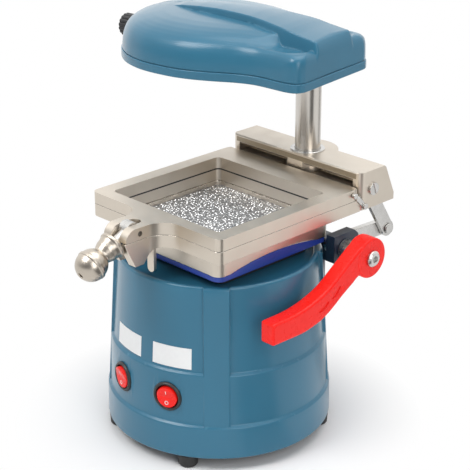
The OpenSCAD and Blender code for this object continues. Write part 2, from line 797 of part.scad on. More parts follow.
module dome(rings, drop = 0) {
  n = len(outline);
  m = len(rings);
  points = [for (k = [0:m - 1], i = [0:n - 1]) let (p = drawn_in(outline[i], rings[k][0]))
    [p[0], p[1], head_seam + rings[k][1] - (k == 0 ? drop : 0)]];
  walls = [for (k = [0:m - 2], i = [0:n - 1]) let (j = (i + 1) % n)
    each [[k * n + i, k * n + j, (k + 1) * n + i], [k * n + j, (k + 1) * n + j, (k + 1) * n + i]]];
  polyhedron(points, concat(walls, [[for (i = [n - 1:-1:0]) i], [for (i = [0:n - 1]) (m - 1) * n + i]]));
}

// Sections of the raised spine: distance along the head, foot and crown half-widths, level.
spine_sections = [[-20.5, 24, 21, 14], [-19, 24, 19, 20], [-13, 24, 17, 25.5], [0, 23.5, 16.5, 30],
  [25, 22, 15.5, 34.5], [60, 20, 14, 37.2], [95, 17, 11.5, 36.8], [125, 12.5, 8, 33],
  [146, 8, 4.5, 26]];

module spine(side, down) {
  m = len(spine_sections);
  low = head_seam + 10;
  points = [for (s = spine_sections) each [
    [s[0], -s[1] + side, low], [s[0], s[1] - side, low],
    [s[0], s[2] - side, head_seam + s[3] - down], [s[0], -s[2] + side, head_seam + s[3] - down]]];
  walls = [for (k = [0:m - 2], i = [0:3]) let (j = (i + 1) % 4)
    each [[4 * k + i, 4 * k + 4 + i, 4 * k + j], [4 * k + j, 4 * k + 4 + i, 4 * k + 4 + j]]];
  polyhedron(points, concat(walls, [[0, 1, 2, 3], [4 * m - 1, 4 * m - 2, 4 * m - 3, 4 * m - 4]]));
}

module head_upper_shell() {
  color(BLUE) on_head() difference() {
    union() {
      dome(outer_rings);
      spine(0, 0);
    }
    difference() {
      dome(inner_rings, 2);
      translate([0, 0, head_seam - 3]) cylinder(h = 60, r = 17, $fn = small_fn);
    }
    translate([0, 0, head_seam - 3]) cylinder(h = 17.1, r = 14, $fn = small_fn);
    translate([150, 0, head_seam + 4.4]) rotate([0, 90, 0]) cylinder(h = 40, r = 2.5, $fn = small_fn);
  }
}

module head_lower_shell() {
  h = head_seam - head_height;
  color(BLUE) on_head() translate([0, 0, head_height]) difference() {
    union() {
      translate([0, 0, 1.4]) linear_extrude(h - 1.4) polygon(outline);
      linear_extrude(1.4) polygon([for (p = outline) drawn_in(p, 1.4)]);
    }
    difference() {
      translate([0, 0, 2.4]) linear_extrude(h) polygon([for (p = outline) drawn_in(p, 3.6)]);
      cylinder(h = 20, r = 18, $fn = small_fn);
      translate([heater_reach, 0, 0]) cylinder(h = 20, r = heater_radius + 4, $fn = round_fn);
    }
    translate([0, 0, -1]) cylinder(h = 20, r = 14, $fn = small_fn);
    translate([heater_reach, 0, -1]) cylinder(h = 20, r = heater_radius, $fn = round_fn);
    for (p = head_screw_places) translate([p[0], p[1], -1]) cylinder(h = 10, r = 2, $fn = small_fn);
  }
}

head_screw_places = [[-14, 34], [-14, -34], [29, 40], [29, -40]];

module head_screws() {
  color(STEEL) on_head() for (p = head_screw_places) translate([p[0], p[1], head_height])
    difference() {
      union() {
        translate([0, 0, -1.6]) cylinder(h = 1.6, r = 3.4, $fn = small_fn);
        cylinder(h = 10, r = 2, $fn = small_fn);
      }
      translate([-4, -0.5, -2]) cube([8, 1, 1.2]);
    }
}

module head_hub() {
  color(STEEL) on_head() translate([0, 0, head_height]) difference() {
    union() {
      translate([0, 0, -2]) cylinder(h = 2, r = 16, $fn = small_fn);
      cylinder(h = 20, r = 14, $fn = small_fn);
    }
    translate([0, 0, -3]) cylinder(h = 19.4, r = column_radius + running, $fn = small_fn);
  }
}

module heater_reflector() {
  color(STEEL) on_head() translate([heater_reach, 0, head_seam]) rotate_extrude($fn = round_fn)
    polygon([[0, 12], [44, 12], [54, 1.2], [heater_radius + 3, 1.2], [heater_radius + 3, 0],
      [53.4, 0], [43.4, 10.8], [0, 10.8]]);
}

module heater_coil() {
  color(COPPER) on_head() translate([heater_reach, 0, head_seam + 5.5]) union() {
    for (r = [8, 20, 32, 42]) rotate_extrude($fn = round_fn) disc(1.8, [r, 0], 16);
    for (a = [0, 90]) rotate(a) translate([-43, -2, 0]) cube([86, 4, 5.3]);
  }
}

guard_ring = 2.5;

module heater_guard() {
  color(STEEL) on_head() translate([heater_reach, 0, head_height + 1.5]) difference() {
    cylinder(h = 3, r = heater_radius, $fn = round_fn);
    translate([0, 0, -1]) cylinder(h = 5, r = heater_radius - guard_ring, $fn = round_fn);
  }
}

module guard_bars() {
  r = heater_radius - guard_ring;
  color(STEEL) on_head() translate([heater_reach, 0, head_height + 1.5]) intersection() {
    cylinder(h = 1.6, r = r, $fn = round_fn);
    for (k = [-2.5:1:2.5]) translate([-r - 1, k * 0.28 * heater_radius - 0.9, -1])
      cube([2 * r + 2, 1.8, 4]);
  }
}

module tip_knob() {
  color(BLACK) on_head() translate([160, 0, head_seam + 4.4]) rotate([0, 90, 0]) difference() {
    union() {
      cylinder(h = 14, r = 2.5, $fn = small_fn);
      translate([0, 0, 11]) cylinder(h = 2, r = 6, $fn = small_fn);
      translate([0, 0, 13]) cylinder(h = 13, r = 9.6, $fn = small_fn);
      translate([0, 0, 26]) cylinder(h = 1.4, r1 = 9.6, r2 = 8.2, $fn = small_fn);
    }
    for (a = [0:22.5:359]) rotate([0, 0, a]) translate([10.2, 0, 14])
      cylinder(h = 20, r = 1.2, $fn = 12);
  }
}

translate([-middle_x, -middle_y, 0]) {
  base_housing();
  base_plate();
  feet();
  foot_screws();
  motor();
  fan_housing();
  impeller();
  vacuum_plenum();
  seal_pad();
  shot_tray();
  shot_screen();
  steel_shot();
  rear_bracket();
  bracket_screws();
  column();
  heat_switch_body();
  vacuum_switch_body();
  heat_rocker();
  vacuum_rocker();
  heat_label();
  vacuum_label();
  cable_gland();
  lower_frame();
  carriage_block();
  guide_bush();
  hinge_screws();
  frame_leaf();
  leaf_screw();
  upper_frame();
  clamp_pin();
  catch_screw();
  clamp_bolt();
  clamp_knob();
  lever_handle();
  lever_shaft();
  lever_bolt();
  lever_spacers();
  crank_arm();
  crank_pin();
  lift_link();
  head_lower_shell();
  head_upper_shell();
  head_hub();
  heater_reflector();
  heater_coil();
  heater_guard();
  guard_bars();
  tip_knob();
  head_screws();
}
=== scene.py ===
# %% [markdown]
# # A bench vacuum former
# The machine softens a plastic sheet under a heater, then sucks it down over a cast that
# stands in a tray of steel shot. It has a round blower base, a hinged sheet frame on a
# column carriage, a lever that lifts the carriage, and a heater head that swings away.
# The solids of the machine come packed with their joints. This file dresses them: it keeps
# the shapes that are right, replaces the ones that need softer forms, and gives every
# surface a finish.

# %% Load the solids
import json
import math

import bmesh
import bpy
import numpy as np
from mathutils import Matrix, Vector


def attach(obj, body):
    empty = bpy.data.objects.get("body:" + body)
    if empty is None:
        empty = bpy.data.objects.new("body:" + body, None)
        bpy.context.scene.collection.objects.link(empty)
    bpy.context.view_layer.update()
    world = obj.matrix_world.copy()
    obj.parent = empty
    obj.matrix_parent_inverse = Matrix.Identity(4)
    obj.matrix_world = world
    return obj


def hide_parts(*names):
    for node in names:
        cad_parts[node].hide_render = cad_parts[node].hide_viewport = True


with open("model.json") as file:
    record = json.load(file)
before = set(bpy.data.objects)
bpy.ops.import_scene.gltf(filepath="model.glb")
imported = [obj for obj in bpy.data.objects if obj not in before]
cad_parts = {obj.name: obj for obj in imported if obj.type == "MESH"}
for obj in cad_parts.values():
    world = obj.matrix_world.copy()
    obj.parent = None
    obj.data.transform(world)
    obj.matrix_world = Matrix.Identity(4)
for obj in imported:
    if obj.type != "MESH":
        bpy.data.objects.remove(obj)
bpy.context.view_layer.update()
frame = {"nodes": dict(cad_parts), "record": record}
MM = 0.001

# The solids' origin is on the floor under the middle of the whole box. It's simpler to draw
# round the base's own axis, so every drawn mesh is moved once by HOME when it is placed.
HOME = Matrix.Translation(Vector((43.3, -11.0, 0.0)) * MM)

# %% [markdown]
# ## The camera
# The picture was taken from the front right, a little above the frame, with a long lens.
# The place, the tilt and the lens were solved from measured corners of the machine, so the
# render can be laid over the photograph.

# %% Place the camera
AZIMUTH = math.radians(45.41)
ELEVATION = math.radians(22.506)
TARGET = HOME @ (Vector((17.81, 0.0, 157.29)) * MM)
DISTANCE = 1082.1 * MM

back = Vector((
    math.sin(AZIMUTH) * math.cos(ELEVATION),
    -math.cos(AZIMUTH) * math.cos(ELEVATION),
    math.sin(ELEVATION),
))
lens = bpy.data.cameras.new("studio_camera")
lens.sensor_width = 36.0
lens.lens = 36.0 * 1465.447 / 470.0
lens.clip_start, lens.clip_end = 0.05, 20.0
camera = bpy.data.objects.new("studio_camera", lens)
camera.location = TARGET + back * DISTANCE
camera.rotation_mode = "QUATERNION"
camera.rotation_quaternion = (-back).to_track_quat("-Z", "Y")
bpy.context.scene.collection.objects.link(camera)
bpy.context.scene.camera = camera
bpy.context.scene.view_settings.view_transform = "Standard"

# %% [markdown]
# ## Shader sums
# A pattern on a surface is arithmetic on coordinates and noise. One small class wraps a
# socket, so that an expression such as `1 - mask * 0.3` adds its own Math nodes. A second
# class holds one material and adds every other node it needs through one method.


# %% A socket that can be added and multiplied
class Signal:
    def __init__(self, finish, socket):
        self.finish = finish
        self.socket = socket

    def maths(self, operation, first, second=None, clamp=False):
        values = {0: first}
        if second is not None:
            values[1] = second
        node = self.finish.node(
            "ShaderNodeMath", {"operation": operation, "use_clamp": clamp}, values
        )
        return Signal(self.finish, node.outputs[0])

    def __add__(self, other):
        return self.maths("ADD", self, other)

    def __radd__(self, other):
        return self.maths("ADD", other, self)

    def __sub__(self, other):
        return self.maths("SUBTRACT", self, other)

    def __rsub__(self, other):
        return self.maths("SUBTRACT", other, self)

    def __mul__(self, other):
        return self.maths("MULTIPLY", self, other)

    def __rmul__(self, other):
        return self.maths("MULTIPLY", other, self)

    def __truediv__(self, other):
        return self.maths("DIVIDE", self, other)

    def __pow__(self, other):
        return self.maths("POWER", self, other)

    def above(self, level, width):
        return self.maths("MULTIPLY", self - level, 1.0 / width, clamp=True)


# %% A material under construction
class Finish:
    def __init__(self, name, colour, roughness, metallic=0.0, coat=0.0, **fixed):
        self.material = bpy.data.materials.new(name)
        self.material.use_nodes = True
        self.tree = self.material.node_tree
        self.tree.nodes.clear()
        self.shader = self.node("ShaderNodeBsdfPrincipled")
        self.output = self.node("ShaderNodeOutputMaterial", {}, {"Surface": self.shader})
        self.shader.inputs["Base Color"].default_value = (*colour, 1.0)
        self.shader.inputs["Roughness"].default_value = roughness
        self.shader.inputs["Metallic"].default_value = metallic
        self.shader.inputs["Coat Weight"].default_value = coat
        for name, value in fixed.items():
            self.shader.inputs[name.replace("_", " ")].default_value = value
        self.material.diffuse_color = (*colour, 1.0)
        self.colour = colour

    def node(self, kind, settings=None, values=None):
        node = self.tree.nodes.new(kind)
        for name, value in (settings or {}).items():
            if name == "stops":
                ramp = node.color_ramp.elements
                while len(ramp) < len(value):
                    ramp.new(0.5)
                for stop, (place, shade) in zip(ramp, value):
                    stop.position = place
                    stop.color = (*shade, 1.0)
            else:
                setattr(node, name, value)
        for name, value in (values or {}).items():
            if isinstance(value, Signal):
                self.tree.links.new(value.socket, node.inputs[name])
            elif isinstance(value, bpy.types.Node):
                self.tree.links.new(value.outputs[0], node.inputs[name])
            else:
                node.inputs[name].default_value = value
        return node

    def place(self, stretch=(1, 1, 1)):
        where = self.node("ShaderNodeTexCoord")
        return Signal(self, self.node("ShaderNodeMapping", {}, {
            "Vector": Signal(self, where.outputs["Object"]), "Scale": stretch,
        }).outputs[0])

    def noise(self, size_mm, detail=3.0, stretch=(1, 1, 1), rough=0.5):
        node = self.node("ShaderNodeTexNoise", {}, {
            "Vector": self.place(stretch), "Scale": 1000.0 / size_mm,
            "Detail": detail, "Roughness": rough,
        })
        return Signal(self, node.outputs[0])

    def attribute(self, name):
        node = self.node("ShaderNodeAttribute", {"attribute_name": name})
        return Signal(self, node.outputs["Fac"])

    def mix(self, mask, first, second):
        node = self.node("ShaderNodeMix", {"data_type": "RGBA"}, {
            0: mask, 6: (*first, 1.0) if isinstance(first, tuple) else first,
            7: (*second, 1.0) if isinstance(second, tuple) else second,
        })
        return Signal(self, node.outputs[2])

    def feed(self, name, signal):
        self.tree.links.new(signal.socket, self.shader.inputs[name])

    def bump(self, height, depth_mm, strength=1.0):
        node = self.node("ShaderNodeBump", {}, {
            "Height": height, "Distance": depth_mm * MM, "Strength": strength,
        })
        self.tree.links.new(node.outputs[0], self.shader.inputs["Normal"])


def tinted(colour, share):
    return tuple(min(1.0, c * share) for c in colour)


# %% [markdown]
# ## Finishes
# The base and the head are pressed sheet with a satin blue enamel: a faint orange peel in
# the coat, a slow change of tone over a hand's width, and a lighter blue painted in patches
# along the tightest edges as a highlight. The frames are cast alloy with a warm satin nickel
# plate, so their grain is fine and even. The lever is glossy moulded plastic. Each finish
# takes its grain from noise at the size the real one has, in millimetres.

# %% Blue enamel
blue = Finish("blue_enamel", (0.027, 0.147, 0.236), 0.34, coat=0.85, Coat_Roughness=0.24,
              Coat_IOR=1.3, Specular_IOR_Level=0.32)
tone = blue.noise(70, 2.0)
peel = blue.noise(1.6, 2.0)
edge = blue.attribute("edge")
shade = blue.mix(tone, tinted(blue.colour, 0.90), tinted(blue.colour, 1.10))
# Lighter blue in patches along the eased edges and the shell's steps: a painted highlight.
painted_edge_highlight = edge * blue.noise(5, 4.0).above(0.60, 0.12) * 0.5
blue.feed("Base Color", blue.mix(painted_edge_highlight, shade, (0.105, 0.26, 0.345)))
blue.feed("Roughness", blue.noise(18, 3.0) * 0.12 + 0.28)
blue.bump(peel, 0.02, 0.35)

# %% Satin nickel plate on cast alloy
nickel = Finish("satin_nickel", (0.68, 0.615, 0.53), 0.36, metallic=1.0)
grain = nickel.noise(0.45, 2.0)
drift = nickel.noise(34, 3.0)
edge = nickel.attribute("edge")
shade = nickel.mix(drift, tinted(nickel.colour, 0.93), tinted(nickel.colour, 1.05))
# Eased edges painted a lighter nickel as a highlight, and made glossier.
nickel.feed("Base Color", nickel.mix(edge * 0.55, shade, (0.80, 0.745, 0.665)))
nickel.feed("Roughness", nickel.noise(9, 4.0) * 0.16 + 0.29 - edge * 0.10)
nickel.bump(grain, 0.012, 0.5)

# %% Brushed steel for the column, drawn along its length
steel = Finish("brushed_steel", (0.62, 0.59, 0.55), 0.27, metallic=1.0)
lines = steel.noise(0.35, 2.0, stretch=(1, 1, 0.02))
steel.feed("Base Color", steel.mix(lines, tinted(steel.colour, 0.90), tinted(steel.colour, 1.08)))
steel.feed("Roughness", steel.noise(12, 3.0, stretch=(1, 1, 0.2)) * 0.14 + 0.17)
steel.bump(lines, 0.008, 0.4)

# %% Zinc plate for screws and links
zinc = Finish("zinc_plate", (0.66, 0.65, 0.63), 0.30, metallic=1.0)
edge = zinc.attribute("edge")
zinc.feed("Base Color", zinc.mix(zinc.noise(6, 4.0), tinted(zinc.colour, 0.82), tinted(zinc.colour, 1.05)))
zinc.feed("Roughness", zinc.noise(2.5, 4.0) * 0.25 + 0.17)
zinc.bump(zinc.noise(0.5, 2.0), 0.01, 0.4)

# %% Red moulded plastic
red = Finish("red_plastic", (0.90, 0.012, 0.008), 0.26, Specular_IOR_Level=0.26)
red.feed("Base Color", red.mix(red.noise(30, 2.0), tinted(red.colour, 0.95), (0.94, 0.016, 0.010)))
red.feed("Roughness", red.noise(7, 3.0) * 0.12 + 0.22)
red.bump(red.noise(1.1, 2.0), 0.012, 0.35)

# %% Black moulded plastic and rubber
black = Finish("black_plastic", (0.018, 0.018, 0.020), 0.42)
black.feed("Base Color", black.mix(black.noise(4, 3.0), (0.012, 0.012, 0.013), (0.030, 0.030, 0.032)))
black.feed("Roughness", black.noise(1.5, 3.0) * 0.22 + 0.32)
black.bump(black.noise(0.6, 2.0), 0.02, 0.5)

rubber = Finish("black_rubber", (0.016, 0.016, 0.016), 0.62)
rubber.feed("Base Color", rubber.mix(rubber.noise(8, 4.0), (0.010, 0.010, 0.010), (0.032, 0.031, 0.030)))
rubber.feed("Roughness", rubber.noise(2.0, 3.0) * 0.25 + 0.50)
rubber.bump(rubber.noise(0.8, 3.0), 0.03, 0.5)

# %% Blue silicone
silicone = Finish("blue_silicone", (0.012, 0.040, 0.28), 0.40)
silicone.feed("Base Color", silicone.mix(
    silicone.noise(12, 3.0), (0.010, 0.034, 0.24), (0.016, 0.050, 0.32)))
silicone.feed("Roughness", silicone.noise(3.0, 3.0) * 0.18 + 0.32)
silicone.bump(silicone.noise(0.9, 2.0), 0.015, 0.4)

# %% Dark blue on the rear bracket: painted shade, for the bracket stands in shadow
painted_shade_navy = Finish("painted_shade_dark_blue", (0.014, 0.030, 0.058), 0.40, coat=0.2, Coat_Roughness=0.3)
painted_shade_navy.feed("Base Color", painted_shade_navy.mix(painted_shade_navy.noise(20, 3.0), (0.010, 0.022, 0.044), (0.020, 0.040, 0.072)))
painted_shade_navy.feed("Roughness", painted_shade_navy.noise(5, 3.0) * 0.16 + 0.30)
painted_shade_navy.bump(painted_shade_navy.noise(1.2, 2.0), 0.02, 0.4)

# %% Label stock, steel shot, the painted shade under the shot, turned nickel, painted-shade nickel, dark steel, heating wire, polished alloy and white marks
label = Finish("label_film", (0.80, 0.80, 0.79), 0.38)
label.feed("Base Color", label.mix(label.noise(3, 4.0), (0.77, 0.77, 0.76), (0.83, 0.83, 0.82)))
label.feed("Roughness", label.noise(1.0, 2.0) * 0.15 + 0.30)

shot_metal = Finish("shot_metal", (0.62, 0.63, 0.64), 0.24, metallic=1.0)
speck = shot_metal.noise(2.6, 1.0)
shot_metal.feed("Base Color", shot_metal.mix(
    speck.above(0.35, 0.30), (0.60, 0.605, 0.61), (0.97, 0.975, 0.98)))
shot_metal.feed("Roughness", shot_metal.noise(1.0, 2.0) * 0.20 + 0.16)

# The bed under the balls is painted shade: grey flecked darker and lighter, for the shade between the
# balls.
painted_shade_bed = Finish("shot_shadow", (0.40, 0.40, 0.405), 0.5, metallic=0.6)
painted_shade_bed.feed("Base Color", painted_shade_bed.mix(
    painted_shade_bed.noise(1.4, 2.0).above(0.45, 0.20), (0.22, 0.22, 0.222), (0.55, 0.55, 0.555)))
painted_shade_bed.bump(painted_shade_bed.noise(1.6, 1.0), 0.5, 1.0)

turned_nickel = Finish("turned_nickel", (0.54, 0.485, 0.415), 0.30, metallic=1.0)
turned_nickel.feed("Base Color", turned_nickel.mix(
    turned_nickel.noise(18, 3.0), (0.50, 0.45, 0.385), (0.58, 0.52, 0.445)))
turned_nickel.feed("Roughness", turned_nickel.noise(5, 3.0) * 0.14 + 0.24)

# A dark nickel for the band on the block's front: painted shade and dark reflection.
painted_shade_finish = Finish("painted_shade_nickel", (0.30, 0.255, 0.19), 0.42, metallic=1.0)
painted_shade_finish.feed("Base Color", painted_shade_finish.mix(painted_shade_finish.noise(24, 3.0), (0.27, 0.23, 0.17), (0.34, 0.29, 0.22)))
painted_shade_finish.feed("Roughness", painted_shade_finish.noise(6, 3.0) * 0.16 + 0.34)

dark_steel = Finish("dark_steel", (0.16, 0.15, 0.14), 0.38, metallic=1.0)
dark_steel.feed("Base Color", dark_steel.mix(
    dark_steel.noise(5, 3.0), (0.12, 0.115, 0.11), (0.20, 0.19, 0.175)))
dark_steel.feed("Roughness", dark_steel.noise(2.0, 3.0) * 0.2 + 0.28)

wire = Finish("heating_wire", (0.20, 0.16, 0.14), 0.50, metallic=1.0)
wire.feed("Base Color", wire.mix(wire.noise(9, 3.0), (0.12, 0.10, 0.10), (0.32, 0.25, 0.19)))
wire.feed("Roughness", wire.noise(2.0, 2.0) * 0.2 + 0.38)

mirror_alloy = Finish("polished_alloy", (0.82, 0.81, 0.79), 0.16, metallic=1.0)
mirror_alloy.feed("Base Color", mirror_alloy.mix(
    mirror_alloy.noise(25, 4.0), (0.74, 0.72, 0.69), (0.86, 0.85, 0.83)))
mirror_alloy.feed("Roughness", mirror_alloy.noise(4.0, 4.0) * 0.22 + 0.08)

mark_white = Finish("mark_white", (0.82, 0.82, 0.80), 0.40)
mark_white.feed("Roughness", mark_white.noise(1.0, 2.0) * 0.2 + 0.3)
print("finishes:", len(bpy.data.materials))

# %% [markdown]
# ## Tools for the pieces
# Machined and cast parts never have knife edges: a small round catches the light along
# every corner. `eased` copies a solid, merges its loose triangles into real faces, and
# bevels each sharp edge. The bevel's faces carry an attribute, `edge`, that the finishes
# read to paint a lighter highlight there.


# %% Helpers to place a mesh
def new_piece(name, mesh, finish, body, slot, *nodes):
    mesh.transform(HOME)
    piece = bpy.data.objects.new(name, mesh)
    bpy.context.scene.collection.objects.link(piece)
    mesh.materials.clear()
    mesh.materials.append(finish.material)
    if nodes:
        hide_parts(*nodes)
    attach(piece, body)
    return piece


BODY_OF = {node: body for body, nodes in frame["record"]["behaviour"]["bodies"].items()
           for node in nodes}
SLOT_OF = {row["node"]: row["material_slot"] for row in frame["record"]["subparts"]}


def mesh_from(bm, name, sharp=32.0):
    mesh = bpy.data.meshes.new(name)
    bm.normal_update()
    bm.to_mesh(mesh)
    bm.free()
    mesh.shade_smooth()
    mesh.set_sharp_from_angle(angle=math.radians(sharp))
    return mesh


def weighted(mesh, name):
    """The same mesh with its normals weighted by face area, so that flats stay flat."""
    holder = bpy.data.objects.new(name + "_holder", mesh)
    bpy.context.scene.collection.objects.link(holder)
    modifier = holder.modifiers.new("weigh", "WEIGHTED_NORMAL")
    modifier.keep_sharp = True
    modifier.weight = 80
    graph = bpy.context.evaluated_depsgraph_get()
    made = bpy.data.meshes.new_from_object(holder.evaluated_get(graph))
    made.name = name
    bpy.data.objects.remove(holder)
    return made


# %% A solid with its edges eased
def eased(node, finish, ease=0.4, steps=2, sharp=28.0, flat=0.6):
    bm = bmesh.new()
    bm.from_mesh(frame["nodes"][node].data)
    bm.transform(HOME.inverted())
    bmesh.ops.remove_doubles(bm, verts=bm.verts, dist=2e-6)
    bmesh.ops.dissolve_degenerate(bm, dist=2e-6, edges=bm.edges)
    bmesh.ops.dissolve_limit(
        bm, angle_limit=math.radians(flat), verts=bm.verts, edges=bm.edges)
    corners = [e for e in bm.edges
               if len(e.link_faces) == 2 and e.calc_face_angle(0.0) > math.radians(sharp)]
    mark = bm.faces.layers.float.new("edge")
    if ease > 0:
        made = bmesh.ops.bevel(
            bm, geom=corners, offset=ease * MM, offset_type="OFFSET", segments=steps,
            profile=0.5, affect="EDGES", clamp_overlap=True)
        for face in made["faces"]:
            face[mark] = 1.0
    bmesh.ops.triangulate(bm, faces=[f for f in bm.faces if len(f.verts) > 4])
    mesh = weighted(mesh_from(bm, node + "_dress"), node + "_dress")
    return new_piece(node + "_dress", mesh, finish, BODY_OF[node], SLOT_OF[node], node)


# %% A path with rounded corners, and a shape turned round an axis
def rounded_path(corners, step=1.0):
    """corners are (a, b, radius); the path runs through them with an arc at each."""
    made = []
    for i, (a, b, radius) in enumerate(corners):
        here = np.array([a, b], float)
        if radius <= 0 or i in (0, len(corners) - 1):
            made.append(here)
            continue
        before = np.array(corners[i - 1][:2], float) - here
        after = np.array(corners[i + 1][:2], float) - here
        room = 0.49 * min(np.linalg.norm(before), np.linalg.norm(after))
        u = before / np.linalg.norm(before)
        v = after / np.linalg.norm(after)
        bend = math.acos(max(-1.0, min(1.0, float(u @ v))))
        back_off = min(radius / math.tan(bend / 2), room)
        radius = back_off * math.tan(bend / 2)
        count = max(2, int(math.ceil((math.pi - bend) * radius / step)) + 1)
        middle = here + (u + v) / np.linalg.norm(u + v) * radius / math.sin(bend / 2)
        start = here + u * back_off - middle
        stop = here + v * back_off - middle
        whole = math.atan2(start[0] * stop[1] - start[1] * stop[0], start @ stop)
        for k in range(count + 1):
            turn = whole * k / count
            made.append(middle + np.array([
                start[0] * math.cos(turn) - start[1] * math.sin(turn),
                start[0] * math.sin(turn) + start[1] * math.cos(turn)]))
    return made


def turned(corners, matrix, around=64, step=0.5, name="turned", sharp=40.0):
    """Turns a closed (radius, height) path about its own axis, then places it."""
    path = rounded_path(corners, step)
    bm = bmesh.new()
    rings = []
    for r, h in path:
        if r < 1e-6:
            rings.append([bm.verts.new((0, 0, h * MM))])
            continue
        rings.append([bm.verts.new((r * MM * math.cos(t), r * MM * math.sin(t), h * MM))
                      for t in np.linspace(0, 2 * math.pi, around, endpoint=False)])
    closed = path[0][0] > 1e-6
    pairs = list(zip(rings, rings[1:])) + ([(rings[-1], rings[0])] if closed else [])
    for lower, upper in pairs:
        for i in range(around):
            j = (i + 1) % around
            corner = [lower[i % len(lower)], lower[j % len(lower)],
                      upper[j % len(upper)], upper[i % len(upper)]]
            corner = list(dict.fromkeys(corner))
            if len(corner) > 2:
                bm.faces.new(corner)
    bmesh.ops.remove_doubles(bm, verts=bm.verts, dist=1e-7)
    bmesh.ops.recalc_face_normals(bm, faces=bm.faces)
    bm.transform(matrix)
    return mesh_from(bm, name, sharp)


# %% A plate cut to an outline, with eased edges
def cut_plate(outline, holes, low, high, ease, matrix, name, steps=3, sharp=40.0):
    curve = bpy.data.curves.new(name + "_outline", "CURVE")
    curve.dimensions = "2D"
    curve.fill_mode = "BOTH"
    for loop in [outline, *holes]:
        spline = curve.splines.new("POLY")
        spline.points.add(len(loop) - 1)
        for point, (a, b) in zip(spline.points, loop):
            point.co = (a * MM, b * MM, 0, 1)
        spline.use_cyclic_u = True
    curve.extrude = (high - low) / 2 * MM - ease * MM
    curve.bevel_depth = ease * MM
    curve.bevel_resolution = steps
    curve.offset = -ease * MM
    holder = bpy.data.objects.new(name + "_holder", curve)
    bpy.context.scene.collection.objects.link(holder)
    graph = bpy.context.evaluated_depsgraph_get()
    mesh = bpy.data.meshes.new_from_object(holder.evaluated_get(graph))
    bpy.data.objects.remove(holder)
    bm = bmesh.new()
    bm.from_mesh(mesh)
    bmesh.ops.remove_doubles(bm, verts=bm.verts, dist=1e-6)
    bmesh.ops.recalc_face_normals(bm, faces=bm.faces)
    bm.transform(matrix @ Matrix.Translation((0, 0, (low + high) / 2 * MM)))
    return weighted(mesh_from(bm, name, sharp), name)


def circle(radius, centre=(0, 0), count=64):
    return [(centre[0] + radius * math.cos(t), centre[1] + radius * math.sin(t))
            for t in np.linspace(0, 2 * math.pi, count, endpoint=False)]


def smooth_loop(points, step=2.0, closed=True):
    """A soft curve through the points, sampled about every step."""
    pts = np.array(points, float)
    n = len(pts)
    made = []
    for i in range(n if closed else n - 1):
        p0, p1, p2, p3 = (pts[(i + k) % n] if closed else pts[min(max(i + k, 0), n - 1)]
                          for k in (-1, 0, 1, 2))
        count = max(1, int(round(np.linalg.norm(p2 - p1) / step)))
        for k in range(count):
            t = k / count
            made.append(0.5 * (2 * p1 + (p2 - p0) * t + (2 * p0 - 5 * p1 + 4 * p2 - p3) * t * t
                               + (3 * p1 - p0 - 3 * p2 + p3) * t ** 3))
    if not closed:
        made.append(pts[-1])
    return made


def smoothstep(low, high, x):
    t = np.clip((x - low) / (high - low), 0.0, 1.0)
    return t * t * (3 - 2 * t)


def soft_min(a, b, k):
    """The smaller of two heights, rounded off by about k where they meet."""
    return -soft_max(-a, -b, k)


def soft_max(a, b, k):
    """The larger of two heights, with a fillet of about k where they meet."""
    h = np.clip(0.5 + 0.5 * (a - b) / k, 0.0, 1.0)
    return b + (a - b) * h + k * h * (1 - h)

# %% [markdown]
# ## The base shell
# The real shell is deep-drawn, so its three steps flow into one another and four upright
# ribs grow out of the wall with soft flanks. Turning a profile gives the steps. The ribs
# and the flats under the switches are added as a change of radius that depends on the
# angle, on a grid that is finer where they are.

# %% Sizes of the base, in millimetres
RADIUS = 86.4
HEIGHT = 133.0
FOOT = 10.0
RIM = RADIUS - 11.4
STEP_1 = 0.19 * HEIGHT
STEP_2 = 0.5 * HEIGHT
SWITCH_ANGLES = {"heat": 19.5, "vacuum": -12.5}
SWITCH_Z = FOOT + 0.35 * HEIGHT
SWITCH_FACE = RADIUS - 3.5
PORT = 13.0


def rib_radius(z):
    straight = (RADIUS - 1.4) + (RIM + 3.2 - RADIUS + 1.4) * (z - 31.9) / 109.5
    drop = np.clip((z - (FOOT + HEIGHT - 2.6)) / 2.6, 0, 1)
    return straight - 2.5 * (1 - np.sqrt(1 - drop ** 2))


